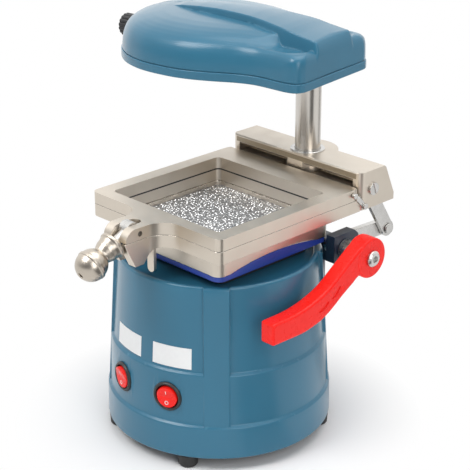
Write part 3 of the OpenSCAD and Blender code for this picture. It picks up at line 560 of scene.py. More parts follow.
# %% The base shell as a grid of radius against angle and height
def base_shell():
    outer = rounded_path([
        (RADIUS - 4, 0, 0), (RADIUS - 0.2, 0, 1.6), (RADIUS - 0.8, STEP_1 - 0.4, 1.5),
        (RADIUS - 3.0, STEP_1 + 1.4, 1.5), (RADIUS - 4.2, STEP_2 - 0.6, 1.5),
        (RADIUS - 6.2, STEP_2 + 1.3, 1.5), (RIM + 0.6, HEIGHT, 2.2),
        (RIM - 3.4, HEIGHT, 0.7), (RIM - 3.4, HEIGHT - 2, 0.5), (PORT, HEIGHT - 2, 0)], 0.45)
    fine = []
    for a, b in zip(outer, outer[1:]):
        long = float(np.linalg.norm(b - a))
        limit = 1.2 if 30 < a[1] < 66 else 5.0
        count = max(1, int(math.ceil(long / limit)))
        fine += [a + (b - a) * k / count for k in range(count)]
    fine.append(outer[-1])
    angles = set(np.round(np.arange(-180, 180, 3.0), 3))
    for middle in (-135, -45, 45, 135):
        for side in (-1, 1):
            for a in np.arange(-1.05, 1.1, 0.15):
                angles.add(round(middle + side * 6.35 + a, 3))
    for middle in SWITCH_ANGLES.values():
        for a in np.arange(-9.6, 9.7, 0.4):
            angles.add(round(middle + a, 3))
    angles = sorted(a for a in angles if -180 <= a < 180)
    kept = [angles[0]]
    for a in angles[1:]:
        if a - kept[-1] > 0.12:
            kept.append(a)
    angles = np.array(kept)
    apex = max(range(len(fine)), key=lambda k: (fine[k][1], fine[k][0]))
    bm = bmesh.new()
    mark = bm.faces.layers.float.new("edge")
    rings = []
    for k, (r, h) in enumerate(fine):
        z = h + FOOT
        if k <= apex:
            weight = 1.0 if z > 31.9 else 0.0
        else:
            weight = float(np.clip((r - (RIM - 3.0)) / (fine[apex][0] - RIM + 3.0), 0, 1))
            weight = weight if h > HEIGHT - 0.8 else 0.0
        ring = []
        for angle in angles:
            nearest = min((-135, -45, 45, 135), key=lambda m: abs(angle - m))
            across = abs(math.radians(angle - nearest)) * r
            inside = float(smoothstep(10.0, 8.8, across)) if across < 12 else 0.0
            lift = max(float(rib_radius(z)) - (r if k <= apex else fine[apex][0]), 0.0)
            out = r + lift * inside * weight
            if k <= apex and 40 < z < 75:
                for middle in SWITCH_ANGLES.values():
                    turn = math.radians(angle - middle)
                    gap = math.hypot(turn * r, z - SWITCH_Z)
                    if gap < 14:
                        flat = SWITCH_FACE / math.cos(turn)
                        out = out + (flat - out) * float(smoothstep(13.2, 12.3, gap))
            t = math.radians(angle)
            ring.append(bm.verts.new((out * MM * math.sin(t), -out * MM * math.cos(t), z * MM)))
        rings.append(ring)
    inner = rounded_path([
        (PORT, HEIGHT - 5, 0), (RIM - 4.5, HEIGHT - 5, 2), (RADIUS - 10, STEP_2, 3),
        (RADIUS - 7, STEP_1, 3), (RADIUS - 4, 0, 0)], 1.5)
    for r, h in inner[:-1]:
        rings.append([bm.verts.new((
            r * MM * math.sin(math.radians(a)), -r * MM * math.cos(math.radians(a)),
            (h + FOOT) * MM)) for a in angles])
    count = len(angles)
    # Faces near the bottom edge, the two steps and the rim get an edge value of 0.7, which the blue finish
    # paints lighter as a highlight.
    corner_zone = [STEP_1, STEP_2, HEIGHT, 0]
    for k, (lower, upper) in enumerate(zip(rings, rings[1:] + [rings[0]])):
        for i in range(count):
            j = (i + 1) % count
            face = bm.faces.new((lower[i], lower[j], upper[j], upper[i]))
            if k < len(fine) and min(abs(fine[k][1] - c) for c in corner_zone) < 1.2:
                face[mark] = 0.7
    bmesh.ops.recalc_face_normals(bm, faces=bm.faces)
    return mesh_from(bm, "base_shell", 50.0)


def cut_holes(mesh, name, cutters):
    """Cuts round holes, given as (matrix, radius, low, high), by an exact boolean."""
    holder = bpy.data.objects.new(name + "_holder", mesh)
    bpy.context.scene.collection.objects.link(holder)
    bm = bmesh.new()
    for matrix, radius, low, high in cutters:
        made = bmesh.ops.create_cone(
            bm, cap_ends=True, segments=72, radius1=radius * MM, radius2=radius * MM,
            depth=(high - low) * MM)
        shift = matrix @ Matrix.Translation((0, 0, (low + high) / 2 * MM))
        bmesh.ops.transform(bm, matrix=shift, verts=made["verts"])
    tool = bpy.data.objects.new(name + "_tool", bpy.data.meshes.new(name + "_tool"))
    bm.to_mesh(tool.data)
    bm.free()
    bpy.context.scene.collection.objects.link(tool)
    modifier = holder.modifiers.new("holes", "BOOLEAN")
    modifier.object = tool
    modifier.solver = "EXACT"
    graph = bpy.context.evaluated_depsgraph_get()
    made = bpy.data.meshes.new_from_object(holder.evaluated_get(graph))
    bpy.data.objects.remove(holder)
    bpy.data.objects.remove(tool)
    made.name = name
    return made


def on_front(angle, z, out=0.0):
    """A frame on the front of the base: x to the right, y up, z outwards."""
    turn = Matrix.Rotation(math.radians(angle), 4, "Z")
    return (turn @ Matrix.Translation((0, -out * MM, z * MM))
            @ Matrix.Rotation(math.radians(90), 4, "X"))


shell_mesh = cut_holes(base_shell(), "base_shell", [
    (on_front(a, SWITCH_Z, SWITCH_FACE), 10.1, -12, 6) for a in SWITCH_ANGLES.values()])
base_piece = new_piece("base_shell", shell_mesh, blue, "base", "blue_shell", "base_housing")
print("base shell faces:", len(shell_mesh.polygons))

# %% [markdown]
# ## Switches
# Each round rocker switch has a black bezel that covers the edge of its hole, and a red
# rocker with a shallow valley across it. The rocker is glossy and carries the usual bar
# and ring for on and off. The bezel is a turned piece, and the rocker is a disc whose top
# is lowered along a line across its middle.


# %% Bezels
def bezel(name, angle):
    matrix = on_front(angle, SWITCH_Z, SWITCH_FACE)
    mesh = turned([
        (9.1, -6, 0.2), (9.1, 1.4, 0.4), (9.7, 2.1, 0.5), (10.5, 2.1, 0.8), (11.5, 0.9, 0.6),
        (11.5, 0, 0.2), (10, 0, 0.1), (10, -17, 0.4), (0, -17, 0), (0, -6, 0), (9.1, -6, 0.2)],
        matrix, 72, 0.25, name)
    return new_piece(name, mesh, black, "base", "black_plastic", name.replace("bezel", "switch_body"))


for key, angle in SWITCH_ANGLES.items():
    bezel(key + "_bezel", angle)


# %% Rockers with their marks
def rocker(key, angle):
    pivot = on_front(angle, SWITCH_Z, SWITCH_FACE + 0.4) @ Matrix.Rotation(math.radians(7), 4, "X")
    bm = bmesh.new()
    across = np.linspace(-1, 1, 33)
    rows = []
    for rim, level in ((1.0, -3.0), (1.0, 2.2), (0.985, 2.75), (0.95, 3.05), (0.9, 3.15)):
        ring = []
        for t in np.linspace(0, 2 * math.pi, 72, endpoint=False):
            x, y = 8.25 * rim * math.cos(t), 8.25 * rim * math.sin(t)
            dip = 1.35 * (1 - min(abs(y) / 8.25, 1)) ** 0.9 if level > 0 else 0
            ring.append(bm.verts.new((x * MM, y * MM, (level - dip) * MM)))
        rows.append(ring)
    for rim in np.linspace(0.84, 0.04, 14):
        ring = []
        for t in np.linspace(0, 2 * math.pi, 72, endpoint=False):
            x, y = 8.25 * rim * math.cos(t), 8.25 * rim * math.sin(t)
            dip = 1.35 * (1 - math.sqrt((y / 8.25) ** 2 + 0.0012)) ** 0.9
            ring.append(bm.verts.new((x * MM, y * MM, (3.17 - dip) * MM)))
        rows.append(ring)
    for lower, upper in zip(rows, rows[1:]):
        for i in range(72):
            j = (i + 1) % 72
            bm.faces.new((lower[i], lower[j], upper[j], upper[i]))
    bm.faces.new(list(reversed(rows[0])))
    bm.faces.new(rows[-1])
    bm.transform(pivot)
    bmesh.ops.recalc_face_normals(bm, faces=bm.faces)
    body = key + "_button"
    piece = new_piece(key + "_rocker_dress", mesh_from(bm, key + "_rocker", 60), red, body,
                      "red_plastic", key + "_rocker")
    ring = turned([(1.05, 0, 0), (1.5, 0, 0), (1.5, 0.16, 0.05), (1.05, 0.16, 0.05), (1.05, 0, 0)],
                  pivot @ Matrix.Translation((0, -4.3 * MM, 2.42 * MM))
                  @ Matrix.Rotation(math.radians(-9.5), 4, "X"), 32, 0.1, key + "_ring")
    new_piece(key + "_off_mark", ring, mark_white, body, "label_white")
    bar = cut_plate([(-0.24, -1.4), (0.24, -1.4), (0.24, 1.4), (-0.24, 1.4)], [], 0, 0.16, 0.04,
                    pivot @ Matrix.Translation((0, 4.3 * MM, 2.42 * MM))
                    @ Matrix.Rotation(math.radians(9.5), 4, "X"), key + "_bar", 1)
    new_piece(key + "_on_mark", bar, mark_white, body, "label_white")
    return piece


for key, angle in SWITCH_ANGLES.items():
    rocker(key, angle)

# %% [markdown]
# ## The heater head
# The head's cover is one pressing with three forms that melt together: a domed lobe over
# the heater, a lower shoulder at the column, and a raised spine that runs along the top
# with a valley beside it. A height field suits that. Rings run from the rim to the
# spine's own line, and each point takes the highest of the three forms, with a fillet
# where two of them meet.

# %% The head's outline and where it stands
HEAD_TURN = 7.3
COLUMN_Y = 97.0
HEAD_Z = 256.0
SEAM = 262.0
HEATER = 97.0
on_head = (Matrix.Translation((0, COLUMN_Y * MM, 0))
           @ Matrix.Rotation(math.radians(180 + HEAD_TURN), 4, "Z"))
half = [(-24.9, 12), (-24.9, 35.5), (-24.3, 41), (-21.9, 45.4), (-17.4, 47.8), (-10, 48.5),
        (0, 48), (10, 47.6), (18, 48), (26, 50), (34, 53), (44, 57.8), (54, 62.2), (64, 65.8),
        (76, 68.6), (88, 69.6), (100, 69.6), (112, 68.2), (124, 64.6), (134, 60), (143, 53.8),
        (151, 46.4), (158, 37.6), (163.4, 28), (167.4, 17.6), (169.6, 7)]
both = half + [(u, -w) for u, w in reversed(half)]
outline = smooth_loop(both, 1.5)
print("outline points:", len(outline))


# %% Height of the cover over any point of the head
def table(x, pairs):
    a = np.array(pairs, float)
    return np.interp(x, a[:, 0], a[:, 1])


def spine_half(u):
    return table(u, [(-25, 22), (-18, 21.8), (8, 20.6), (41, 15.8), (72, 12.6), (100, 11),
                     (133, 8), (157, 4.5), (172, 1)])


def platform_height(u, side, rim):
    """The low shoulder at the column, with a shallow dish inside a rounded lip."""
    level = table(rim, [(0, 263.8), (0.25, 268.5), (0.6, 271.8), (1.2, 275), (2.2, 278.2),
                        (3.4, 280.7), (4.8, 282.4), (6.4, 283.4), (9, 283.9), (13, 284.1), (30, 284.3)])
    crisp = table(rim, [(0, 263.8), (0.1, 271), (0.25, 274.4), (0.6, 277.2), (1.2, 279.2), (2.2, 280.8),
                        (3.4, 281.9), (4.8, 282.8), (6.4, 283.4), (9, 283.9), (13, 284.1), (30, 284.3)])
    level = level + (crisp - level) * smoothstep(-5, -17, u)
    corner = 14 - np.hypot(u + 5, side - 27)
    inside = np.where((u < -5) & (side > 27), corner, np.minimum(41 - side, u + 19))
    return level - 2.5 * smoothstep(-0.6, 5.0, inside)


def lobe_height(u, rim):
    level = table(rim, [(0, 263.8), (0.25, 267), (0.6, 270.4), (1.2, 273.8), (2.2, 277.2),
                        (3.8, 280.6), (6, 283.4), (9, 285.7), (13, 287.8), (18, 289.6),
                        (25, 291.3), (34, 292.5), (45, 293.1), (60, 293.3)])
    return level - 1.2 * smoothstep(50, 10, u)


def spine_height(u, side, rim):
    crest = table(u, [(-25, 290.6), (-17.5, 291.2), (-12.5, 292), (-3.4, 293.4), (5.4, 295.1),
                      (13, 296.3), (31, 298.2), (46, 299.1), (65, 299.2), (82, 298.9), (100, 297.7),
                      (119, 295.5), (133, 292.3), (146, 288.8), (157, 285.4), (165, 279), (172, 262)])
    rear = table(rim, [(0, 263.8), (0.1, 275), (0.25, 279.6), (0.6, 282.8), (1.2, 285.2),
                       (2.2, 287.7), (3.6, 289.7), (5.4, 291), (8, 292.6), (12, 296), (16, 300)])
    past = np.maximum(side - spine_half(u), 0.0)
    bend = np.where(past < 1.2, 2.1 * past ** 2, 3.02 + (past - 1.2) * 5.0)
    along = np.where(u < 60, soft_min(crest, rear, 0.8), crest)
    return along - 0.8 * (side / spine_half(u)) ** 2 - bend


def cover_height(u, w, rim):
    side = np.abs(w)
    outward = np.clip(side - 20, 0, 30)
    start = 7.0 - 0.12 * outward
    share = smoothstep(start, start + 7.5 + 1.05 * outward, u)
    low = platform_height(u, side, rim)
    base = low + (lobe_height(u, rim) - low) * share
    return soft_max(base, spine_height(u, side, rim), 0.25)


# %% The cover
LEDGE = 0.9


def ring_places(points, away, reach):
    """Distances in from the outline, ray by ray: fine at the rim, and fine at the spine's wall."""
    steps = np.linspace(0, 1, 400)
    places = []
    for point, path, full in zip(points, away, reach):
        track = point - path * steps[:, None]
        over = np.abs(track[:, 1]) - spine_half(track[:, 0])
        under = np.nonzero(over < 0)[0]
        edge = steps[under[0]] * full if len(under) else full
        if over[0] < 0:
            edge = float(over[0]) * full / max(abs(point[1]), 1.0)
        edge = 0.5 * (edge - LEDGE + 3.9 + math.sqrt((edge - LEDGE - 3.9) ** 2 + 4.0))
        length = full - LEDGE
        edge = min(edge, length - 1.5)
        first = max(edge - 3.4, 0.2)
        last = edge + 0.5
        a = first * np.linspace(0, 1, 47)[:-1] ** 1.6
        b = np.linspace(first, last, 13)[:-1]
        c = last + (length - last) * np.linspace(0, 1, 19) ** 1.2
        places.append(np.concatenate([a, b, c]))
    return np.array(places)


def head_cover():
    points = np.array(outline)
    heart = np.stack([np.clip(points[:, 0], 6, 98), np.zeros(len(points))], 1)
    away = points - heart
    reach = np.linalg.norm(away, axis=1)
    places = ring_places(points, away, reach)
    bm = bmesh.new()

    def ring(inward, z):
        at = points - away * (inward / reach)[:, None]
        return [bm.verts.new((a * MM, b * MM, c * MM)) for (a, b), c in zip(at, z)]

    flat = np.ones(len(points))
    chain = []
    for drawn, drop in ((22, 3.0), (14, 3.0), (8, 3.0), (3.8, 3.0)):
        at = points - away * (drawn / reach)[:, None]
        z = np.minimum(cover_height(at[:, 0], at[:, 1], flat * (drawn - LEDGE)) - drop, 278.0)
        chain.append(ring(flat * drawn, z))
    chain.insert(0, [bm.verts.new((a * MM, 0, 278 * MM)) for a, b in heart])
    chain.append(ring(flat * 3.8, flat * (SEAM + 0.3)))
    chain.append(ring(flat * (LEDGE + 0.9), flat * (SEAM + 0.3)))
    chain.append(ring(flat * (LEDGE + 0.9), flat * (SEAM + 1.2)))
    chain.append(ring(flat * LEDGE, flat * (SEAM + 1.5)))
    for k in range(places.shape[1]):
        rim = places[:, k]
        at = points - away * ((rim + LEDGE) / reach)[:, None]
        chain.append(ring(rim + LEDGE, cover_height(at[:, 0], at[:, 1], rim)))
    count = len(points)
    for lower, upper in zip(chain, chain[1:]):
        for i in range(count):
            j = (i + 1) % count
            bm.faces.new((lower[i], lower[j], upper[j], upper[i]))
    bmesh.ops.remove_doubles(bm, verts=bm.verts, dist=1e-6)
    bmesh.ops.dissolve_degenerate(bm, dist=1e-6, edges=bm.edges)
    bmesh.ops.recalc_face_normals(bm, faces=bm.faces)
    bm.transform(on_head)
    return mesh_from(bm, "head_cover", 60.0)


cover_mesh = head_cover()
new_piece("head_cover", cover_mesh, blue, "head", "blue_shell", "head_upper_shell")
print("cover faces:", len(cover_mesh.polygons))

# %% The lower pressing, with its heater mouth and its hub hole
lower_outline = [tuple(p) for p in smooth_loop(both, 1.5)]
pan = cut_plate(lower_outline, [circle(57, (HEATER, 0), 128), circle(14, (0, 0), 64)],
                HEAD_Z, SEAM + 0.8, 0.8, on_head, "head_pan", 3, 50)
new_piece("head_pan", pan, blue, "head", "blue_shell", "head_lower_shell")

# %% [markdown]
# ## The heater
# Seen from below, the real heater is a bare resistance wire wound round a flat spiral
# under a bright dish, behind a wire guard. Geometry Nodes lay the wire along a spiral
# curve, and repeat the guard's bars across a ring.


# %% A recipe of geometry nodes
class Recipe:
    def __init__(self, name):
        self.tree = bpy.data.node_groups.new(name, "GeometryNodeTree")
        self.tree.interface.new_socket("Geometry", in_out="OUTPUT", socket_type="NodeSocketGeometry")
        self.entry = self.tree.nodes.new("NodeGroupInput")
        self.exit = self.tree.nodes.new("NodeGroupOutput")
        self.values = {}

    def size(self, name, value, kind="NodeSocketFloat"):
        socket = self.tree.interface.new_socket(name, in_out="INPUT", socket_type=kind)
        self.values[socket.identifier] = value
        return self.entry.outputs[name]

    def node(self, kind, settings=None, values=None, out=0):
        node = self.tree.nodes.new(kind)
        for name, value in (settings or {}).items():
            setattr(node, name, value)
        for name, value in (values or {}).items():
            if isinstance(value, bpy.types.NodeSocket):
                self.tree.links.new(value, node.inputs[name])
            else:
                node.inputs[name].default_value = value
        return node.outputs[out]

    def build(self, geometry, finish, matrix, name):
        real = self.node("GeometryNodeRealizeInstances", {}, {"Geometry": geometry})
        smooth = self.node("GeometryNodeSetShadeSmooth", {}, {0: real})
        painted = self.node("GeometryNodeSetMaterial", {}, {0: smooth, "Material": finish.material})
        self.tree.links.new(painted, self.exit.inputs[0])
        holder = bpy.data.objects.new(name + "_holder", bpy.data.meshes.new(name + "_seed"))
        bpy.context.scene.collection.objects.link(holder)
        modifier = holder.modifiers.new("recipe", "NODES")
        modifier.node_group = self.tree
        for identifier, value in self.values.items():
            modifier[identifier] = value
        graph = bpy.context.evaluated_depsgraph_get()
        mesh = bpy.data.meshes.new_from_object(holder.evaluated_get(graph))
        bpy.data.objects.remove(holder)
        mesh.name = name
        mesh.transform(matrix)
        return mesh


# %% The heating wire
def heating_wire():
    recipe = Recipe("heating_spiral")
    turns = recipe.size("Turns", 5.0)
    inner = recipe.size("Inner radius", 6 * MM)
    outer = recipe.size("Outer radius", 43 * MM)
    thick = recipe.size("Wire radius", 1.9 * MM)
    spiral = recipe.node("GeometryNodeCurveSpiral", {}, {
        "Resolution": 64, "Rotations": turns, "Start Radius": inner, "End Radius": outer,
        "Height": 0.0})
    ring = recipe.node("GeometryNodeCurvePrimitiveCircle", {}, {"Resolution": 10, "Radius": thick})
    tube = recipe.node("GeometryNodeCurveToMesh", {}, {
        "Curve": spiral, "Profile Curve": ring, "Fill Caps": True})
    return recipe.build(tube, wire, on_head @ Matrix.Translation(
        (HEATER * MM, 0, (SEAM + 5.5) * MM)), "heating_wire")


new_piece("heating_wire", heating_wire(), wire, "head", "heating_wire", "heater_coil")


# %% The guard: a ring with bars
def guard_bars():
    recipe = Recipe("guard_bars")
    pitch = recipe.size("Bar pitch", 8 * MM)
    count = recipe.size("Bars", 13, "NodeSocketInt")
    thick = recipe.size("Bar radius", 0.8 * MM)
    reach = recipe.size("Ring radius", 55.6 * MM)
    half_run = recipe.node("ShaderNodeMath", {"operation": "MULTIPLY"}, {0: pitch, 1: -6.0})
    start = recipe.node("ShaderNodeCombineXYZ", {}, {"Y": half_run})
    step = recipe.node("ShaderNodeCombineXYZ", {}, {"Y": pitch})
    row = recipe.node("GeometryNodeMeshLine", {"mode": "OFFSET", "count_mode": "TOTAL"}, {
        "Count": count, "Start Location": start, "Offset": step})
    bar = recipe.node("GeometryNodeMeshCylinder", {}, {
        "Vertices": 10, "Side Segments": 1, "Radius": thick, "Depth": 2.0})
    laid = recipe.node("GeometryNodeTransform", {}, {
        "Geometry": bar, "Rotation": (0.0, math.pi / 2, 0.0)})
    place = recipe.node("GeometryNodeInputPosition")
    apart = recipe.node("ShaderNodeSeparateXYZ", {}, {"Vector": place}, out=1)
    far2 = recipe.node("ShaderNodeMath", {"operation": "MULTIPLY"}, {0: apart, 1: apart})
    reach2 = recipe.node("ShaderNodeMath", {"operation": "MULTIPLY"}, {0: reach, 1: reach})
    left = recipe.node("ShaderNodeMath", {"operation": "SUBTRACT"}, {0: reach2, 1: far2})
    long = recipe.node("ShaderNodeMath", {"operation": "SQRT"}, {0: left})
    size = recipe.node("ShaderNodeCombineXYZ", {}, {"X": long, "Y": 1.0, "Z": 1.0})
    bars = recipe.node("GeometryNodeInstanceOnPoints", {}, {
        "Points": row, "Instance": laid, "Scale": size})
    ring = recipe.node("GeometryNodeCurvePrimitiveCircle", {}, {"Resolution": 96, "Radius": reach})
    wire_ring = recipe.node("GeometryNodeCurvePrimitiveCircle", {}, {
        "Resolution": 12, "Radius": 1.2 * MM})
    hoop = recipe.node("GeometryNodeCurveToMesh", {}, {"Curve": ring, "Profile Curve": wire_ring})
    joined = recipe.tree.nodes.new("GeometryNodeJoinGeometry")
    recipe.tree.links.new(bars, joined.inputs[0])
    recipe.tree.links.new(hoop, joined.inputs[0])
    return recipe.build(joined.outputs[0], zinc, on_head @ Matrix.Translation(
        (HEATER * MM, 0, (HEAD_Z + 2.7) * MM)), "heater_guard_wires")


new_piece("heater_guard_wires", guard_bars(), zinc, "head", "steel", "heater_guard", "guard_bars")

# %% [markdown]
# ## Steel shot
# The tray holds a bed of small steel balls that the cast is pressed into. Thousands of
# balls are the clearest case for Geometry Nodes: points scattered no closer than one ball
# apart, a coarse ball on each, and a little random height and size. A dark bed under them
# stands for the shade between the balls.


# %% The balls
def shot_balls():
    recipe = Recipe("shot_bed")
    wide = recipe.size("Bed width", 110.0 * MM)
    deep = recipe.size("Bed depth", 106.0 * MM)
    apart = recipe.size("Closest spacing", 1.75 * MM)
    radius = recipe.size("Ball radius", 1.05 * MM)
    seed = recipe.size("Seed", 7, "NodeSocketInt")
    sheet = recipe.node("GeometryNodeMeshGrid", {}, {
        "Size X": wide, "Size Y": deep, "Vertices X": 2, "Vertices Y": 2})
    spots = recipe.node("GeometryNodeDistributePointsOnFaces", {"distribute_method": "POISSON"}, {
        "Mesh": sheet, "Distance Min": apart, "Density Max": 600000.0, "Seed": seed})
    ball = recipe.node("GeometryNodeMeshIcoSphere", {}, {"Radius": radius, "Subdivisions": 1})
    lift = recipe.node("FunctionNodeRandomValue", {"data_type": "FLOAT_VECTOR"}, {
        0: (0.0, 0.0, -0.35 * MM), 1: (0.0, 0.0, 0.55 * MM), "Seed": seed})
    moved = recipe.node("GeometryNodeSetPosition", {}, {"Geometry": spots, "Offset": lift})
    swell = recipe.node("FunctionNodeRandomValue", {"data_type": "FLOAT"}, {
        2: 0.90, 3: 1.04, "Seed": 11}, out=1)
    balls = recipe.node("GeometryNodeInstanceOnPoints", {}, {
        "Points": moved, "Instance": ball, "Scale": swell})
    mesh = recipe.build(balls, shot_metal, Matrix.Translation((0, 0.5 * MM, 162.9 * MM)),
                        "shot_balls")
    print("shot faces:", len(mesh.polygons))
    return mesh


new_piece("shot_balls", shot_balls(), shot_metal, "base", "steel")

# %% [markdown]
# ## The seal between the frames
# A thin black seal lies on the lower frame. It stands a hair proud of the opening's walls and
# back from the outer sides, so the parting reads as one dark line.


# %% The seal
def rounded_box(x, y0, y1, radius):
    return [tuple(p) for p in rounded_path([
        (0, y0, 0), (x, y0, radius), (x, y1, radius), (-x, y1, radius), (-x, y0, radius),
        (0, y0, 0)], 0.6)][:-1]


seal = cut_plate(rounded_box(67.75, -64.25, 78.5, 4.2), [rounded_box(56.3, -53.8, 54.8, 3.9)],
                 176.2, 177.3, 0.06, Matrix.Identity(4), "frame_seal", 1)
new_piece("frame_seal", seal, rubber, "carriage", "rubber")

# %% Painted shade: a dark band on the block's front face, for its shade and dark reflection
painted_shade_band = cut_plate([(-63.2, 191.75), (63.2, 191.75), (63.2, 195.6), (-63.2, 195.6)], [], 0, 0.5, 0.05,
                 Matrix.Translation((0, 82.37 * MM, 0)) @ Matrix.Rotation(math.radians(90), 4, "X"),
                 "block_band", 1)
new_piece("block_band", painted_shade_band, painted_shade_finish, "carriage", "satin_alloy")

# %% [markdown]
# ## The lever
# The red handle is moulded: an arm of nearly even thickness that leaves the hub tangent to
# it, bends once and ends square. Its corners are well rounded, and the hub stands proud of
# the arm on the outer side.

# %% The lever's place
LEVER_Y, LEVER_Z = COLUMN_Y - 33.7, FOOT + HEIGHT + 0.6
LEVER_IN = RADIUS - 2.9
LEVER_OUT = LEVER_IN + 13.5
side_on = Matrix(((0, 0, 1, 0), (1, 0, 0, 0), (0, 1, 0, 0), (0, 0, 0, 1)))
upper_side = smooth_loop([
    (-1, 14.6), (-11, 11.6), (-20, 6.2), (-30, -0.5), (-42, -8.4), (-50, -12.4), (-58, -15.2),
    (-67, -17.6), (-77, -19.2), (-88, -19.8), (-99.5, -19.7)], 1.6, closed=False)
lower_side = smooth_loop([
    (-99.5, -36.5), (-84, -36.8), (-72, -36.8), (-62, -35.4), (-52, -32.8), (-42, -28),
    (-30, -20.4), (-20, -14.8), (-12, -10.6), (-2, -14.2)], 1.6, closed=False)
tip = [tuple(p) for p in rounded_path([
    (-99.5, -19.7, 0), (-103.3, -19.8, 2.2), (-103.3, -36.3, 2.2), (-99.5, -36.5, 0)], 0.5)]
plan = [tuple(p) for p in upper_side] + tip[1:-1] + [tuple(p) for p in lower_side]
plan += [(4, -8), (4, 8)]
plan = [(LEVER_Y + a, LEVER_Z + b) for a, b in plan]
arm = cut_plate(plan, [], LEVER_IN + 0.3, LEVER_OUT - 0.5, 1.9, side_on, "lever_arm", 4, 50)
arm = cut_holes(arm, "lever_arm", [
    (side_on @ Matrix.Translation(((LEVER_Y + a) * MM, (LEVER_Z + b) * MM, 0))
     @ Matrix.Rotation(math.radians(turn), 4, "Z") @ Matrix.Diagonal((2.8, 1, 1, 1)),
     2.1, LEVER_OUT - 1.3, LEVER_OUT + 2)
    for a, b, turn in ((-38, -15.5, 38), (-51, -22.8, 26))])
along_x = side_on @ Matrix.Translation((LEVER_Y * MM, LEVER_Z * MM, 0))
hub = turned([
    (5.0, LEVER_IN, 0), (14.6, LEVER_IN, 0.4), (15.4, LEVER_IN + 0.8, 0.6),
    (15.4, LEVER_OUT - 0.1, 1.3), (5.0, LEVER_OUT, 0), (5.0, LEVER_IN, 0)],
    along_x, 96, 0.3, "lever_hub")
arm_and_hub = bmesh.new()
arm_and_hub.from_mesh(arm)
arm_and_hub.from_mesh(hub)
lever_mesh = weighted(mesh_from(arm_and_hub, "lever_handle_dress", 34), "lever_handle_dress")
new_piece("lever_handle_dress", lever_mesh, red, "lever", "red_plastic", "lever_handle")

# %% [markdown]
# ## The clamp knob
# The knob is turned from one bar: a thin flange against the frame, a waist, a bead and a
# ball with a drilled end.

# %% The knob
PIN_Y, PIN_Z, TILT = -87.0, 181.7, 26.0
on_clamp = (Matrix.Translation((0, PIN_Y * MM, PIN_Z * MM))
            @ Matrix.Rotation(math.radians(90 + TILT), 4, "X"))
ball = [(11.55 * math.cos(t), 38.7 + 11.55 * math.sin(t))
        for t in np.radians(np.arange(6, 76, 3.0))]
under = [(11.3 * math.cos(t), 37.9 + 11.3 * math.sin(t)) for t in np.radians(np.arange(-52, -4, 4.0))]
knob = turned([
    (4.1, 15.3, 0), (9.4, 15.3, 0.5), (10.4, 16.2, 0.6), (10.4, 18.0, 0.5), (9.7, 18.9, 0.4),
    (9.0, 21.0, 2.0), (8.6, 24.0, 3.0), (7.0, 27.8, 3.0), *[(a, b, 0) for a, b in under],
    (11.95, 37.5, 0.2), (11.95, 39.3, 0.2),
    *[(a, b, 0) for a, b in ball if b > 39.6], (2.4, 49.62, 0.3), (2.0, 49.2, 0.2),
    (2.0, 40.5, 0), (4.1, 40.0, 0), (4.1, 15.3, 0)], on_clamp, 72, 0.4, "clamp_knob_dress", 28)
new_piece("clamp_knob_dress", knob, turned_nickel, "knob", "satin_alloy", "clamp_knob")

# %% [markdown]
# ## The tip knob
# A fluted knob at the nose of the head turns the head by hand. One flute is cut as a
# profile, and Geometry Nodes would add little: the profile repeats sixteen times round the
# rim, so it is drawn as a wavy outline and extruded.

# %% The fluted knob
flutes = []
for t in np.linspace(0, 2 * math.pi, 192, endpoint=False):
    wave = abs(math.sin(8 * t)) ** 0.55
    r = 8.75 + 0.85 * wave
    flutes.append((r * math.cos(t), r * math.sin(t)))
tip_frame = (on_head @ Matrix.Translation((160 * MM, 0, (SEAM + 4.4) * MM))
             @ Matrix.Rotation(math.radians(90), 4, "Y"))
grip = cut_plate(flutes, [], 13, 27.4, 0.7, tip_frame, "tip_grip", 2, 50)
neck = turned([(0, 0, 0), (2.5, 0, 0), (2.5, 11, 0), (6, 11, 0.3), (6, 13.6, 0), (0, 13.6, 0)],
              tip_frame, 48, 0.4, "tip_neck")
both_parts = bmesh.new()
both_parts.from_mesh(grip)
both_parts.from_mesh(neck)
new_piece("tip_knob_dress", mesh_from(both_parts, "tip_knob_dress", 35), black, "head",
          "black_plastic", "tip_knob")

# %% [markdown]
# ## Parts whose solids are right
# The frames, the block, the links and the screws are machined parts with the right shape
# already. They only need their edges eased and a finish.

# %% Eased frames and carriage
for node, finish, ease, steps in [
        ("lower_frame", nickel, 0.7, 3), ("upper_frame", nickel, 0.8, 3),
        ("carriage_block", nickel, 1.1, 3), ("shot_tray", nickel, 0.7, 2),
        ("rear_bracket", painted_shade_navy, 0.7, 2), ("seal_pad", silicone, 0.6, 2),
        ("crank_arm", zinc, 0.4, 2), ("lift_link", zinc, 0.4, 2),
        ("lever_spacers", zinc, 0.3, 1), ("lever_shaft", steel, 0.3, 1),
        ("lever_bolt", zinc, 0.3, 2), ("crank_pin", zinc, 0.3, 2),
        ("clamp_bolt", zinc, 0.3, 2), ("clamp_pin", dark_steel, 0.25, 1),
        ("hinge_screws", zinc, 0.3, 2), ("catch_screw", zinc, 0.25, 2),
        ("leaf_screw", zinc, 0.2, 2), ("frame_leaf", zinc, 0.2, 2),
        ("bracket_screws", zinc, 0.3, 2), ("head_screws", zinc, 0.25, 2),
        ("foot_screws", zinc, 0.25, 2), ("head_hub", zinc, 0.4, 2),
        ("column", steel, 0.8, 2), ("guide_bush", zinc, 0.3, 1)]:
    eased(node, finish, ease, steps)

# %% Eased feet, labels, covers and inner parts
for node, finish, ease, steps in [
        ("feet", rubber, 0.5, 2), ("base_plate", black, 0.4, 1),
        ("fan_housing", black, 0.6, 1), ("vacuum_plenum", black, 0.6, 1),
        ("cable_gland", black, 0.4, 2), ("motor", zinc, 0.5, 1), ("impeller", mirror_alloy, 0.15, 1),
        ("shot_screen", zinc, 0.0, 1), ("heater_reflector", mirror_alloy, 0.2, 1),
        ("heat_label", label, 0.12, 1), ("vacuum_label", label, 0.12, 1),
        ("steel_shot", painted_shade_bed, 0.0, 1)]:
    eased(node, finish, ease, steps)

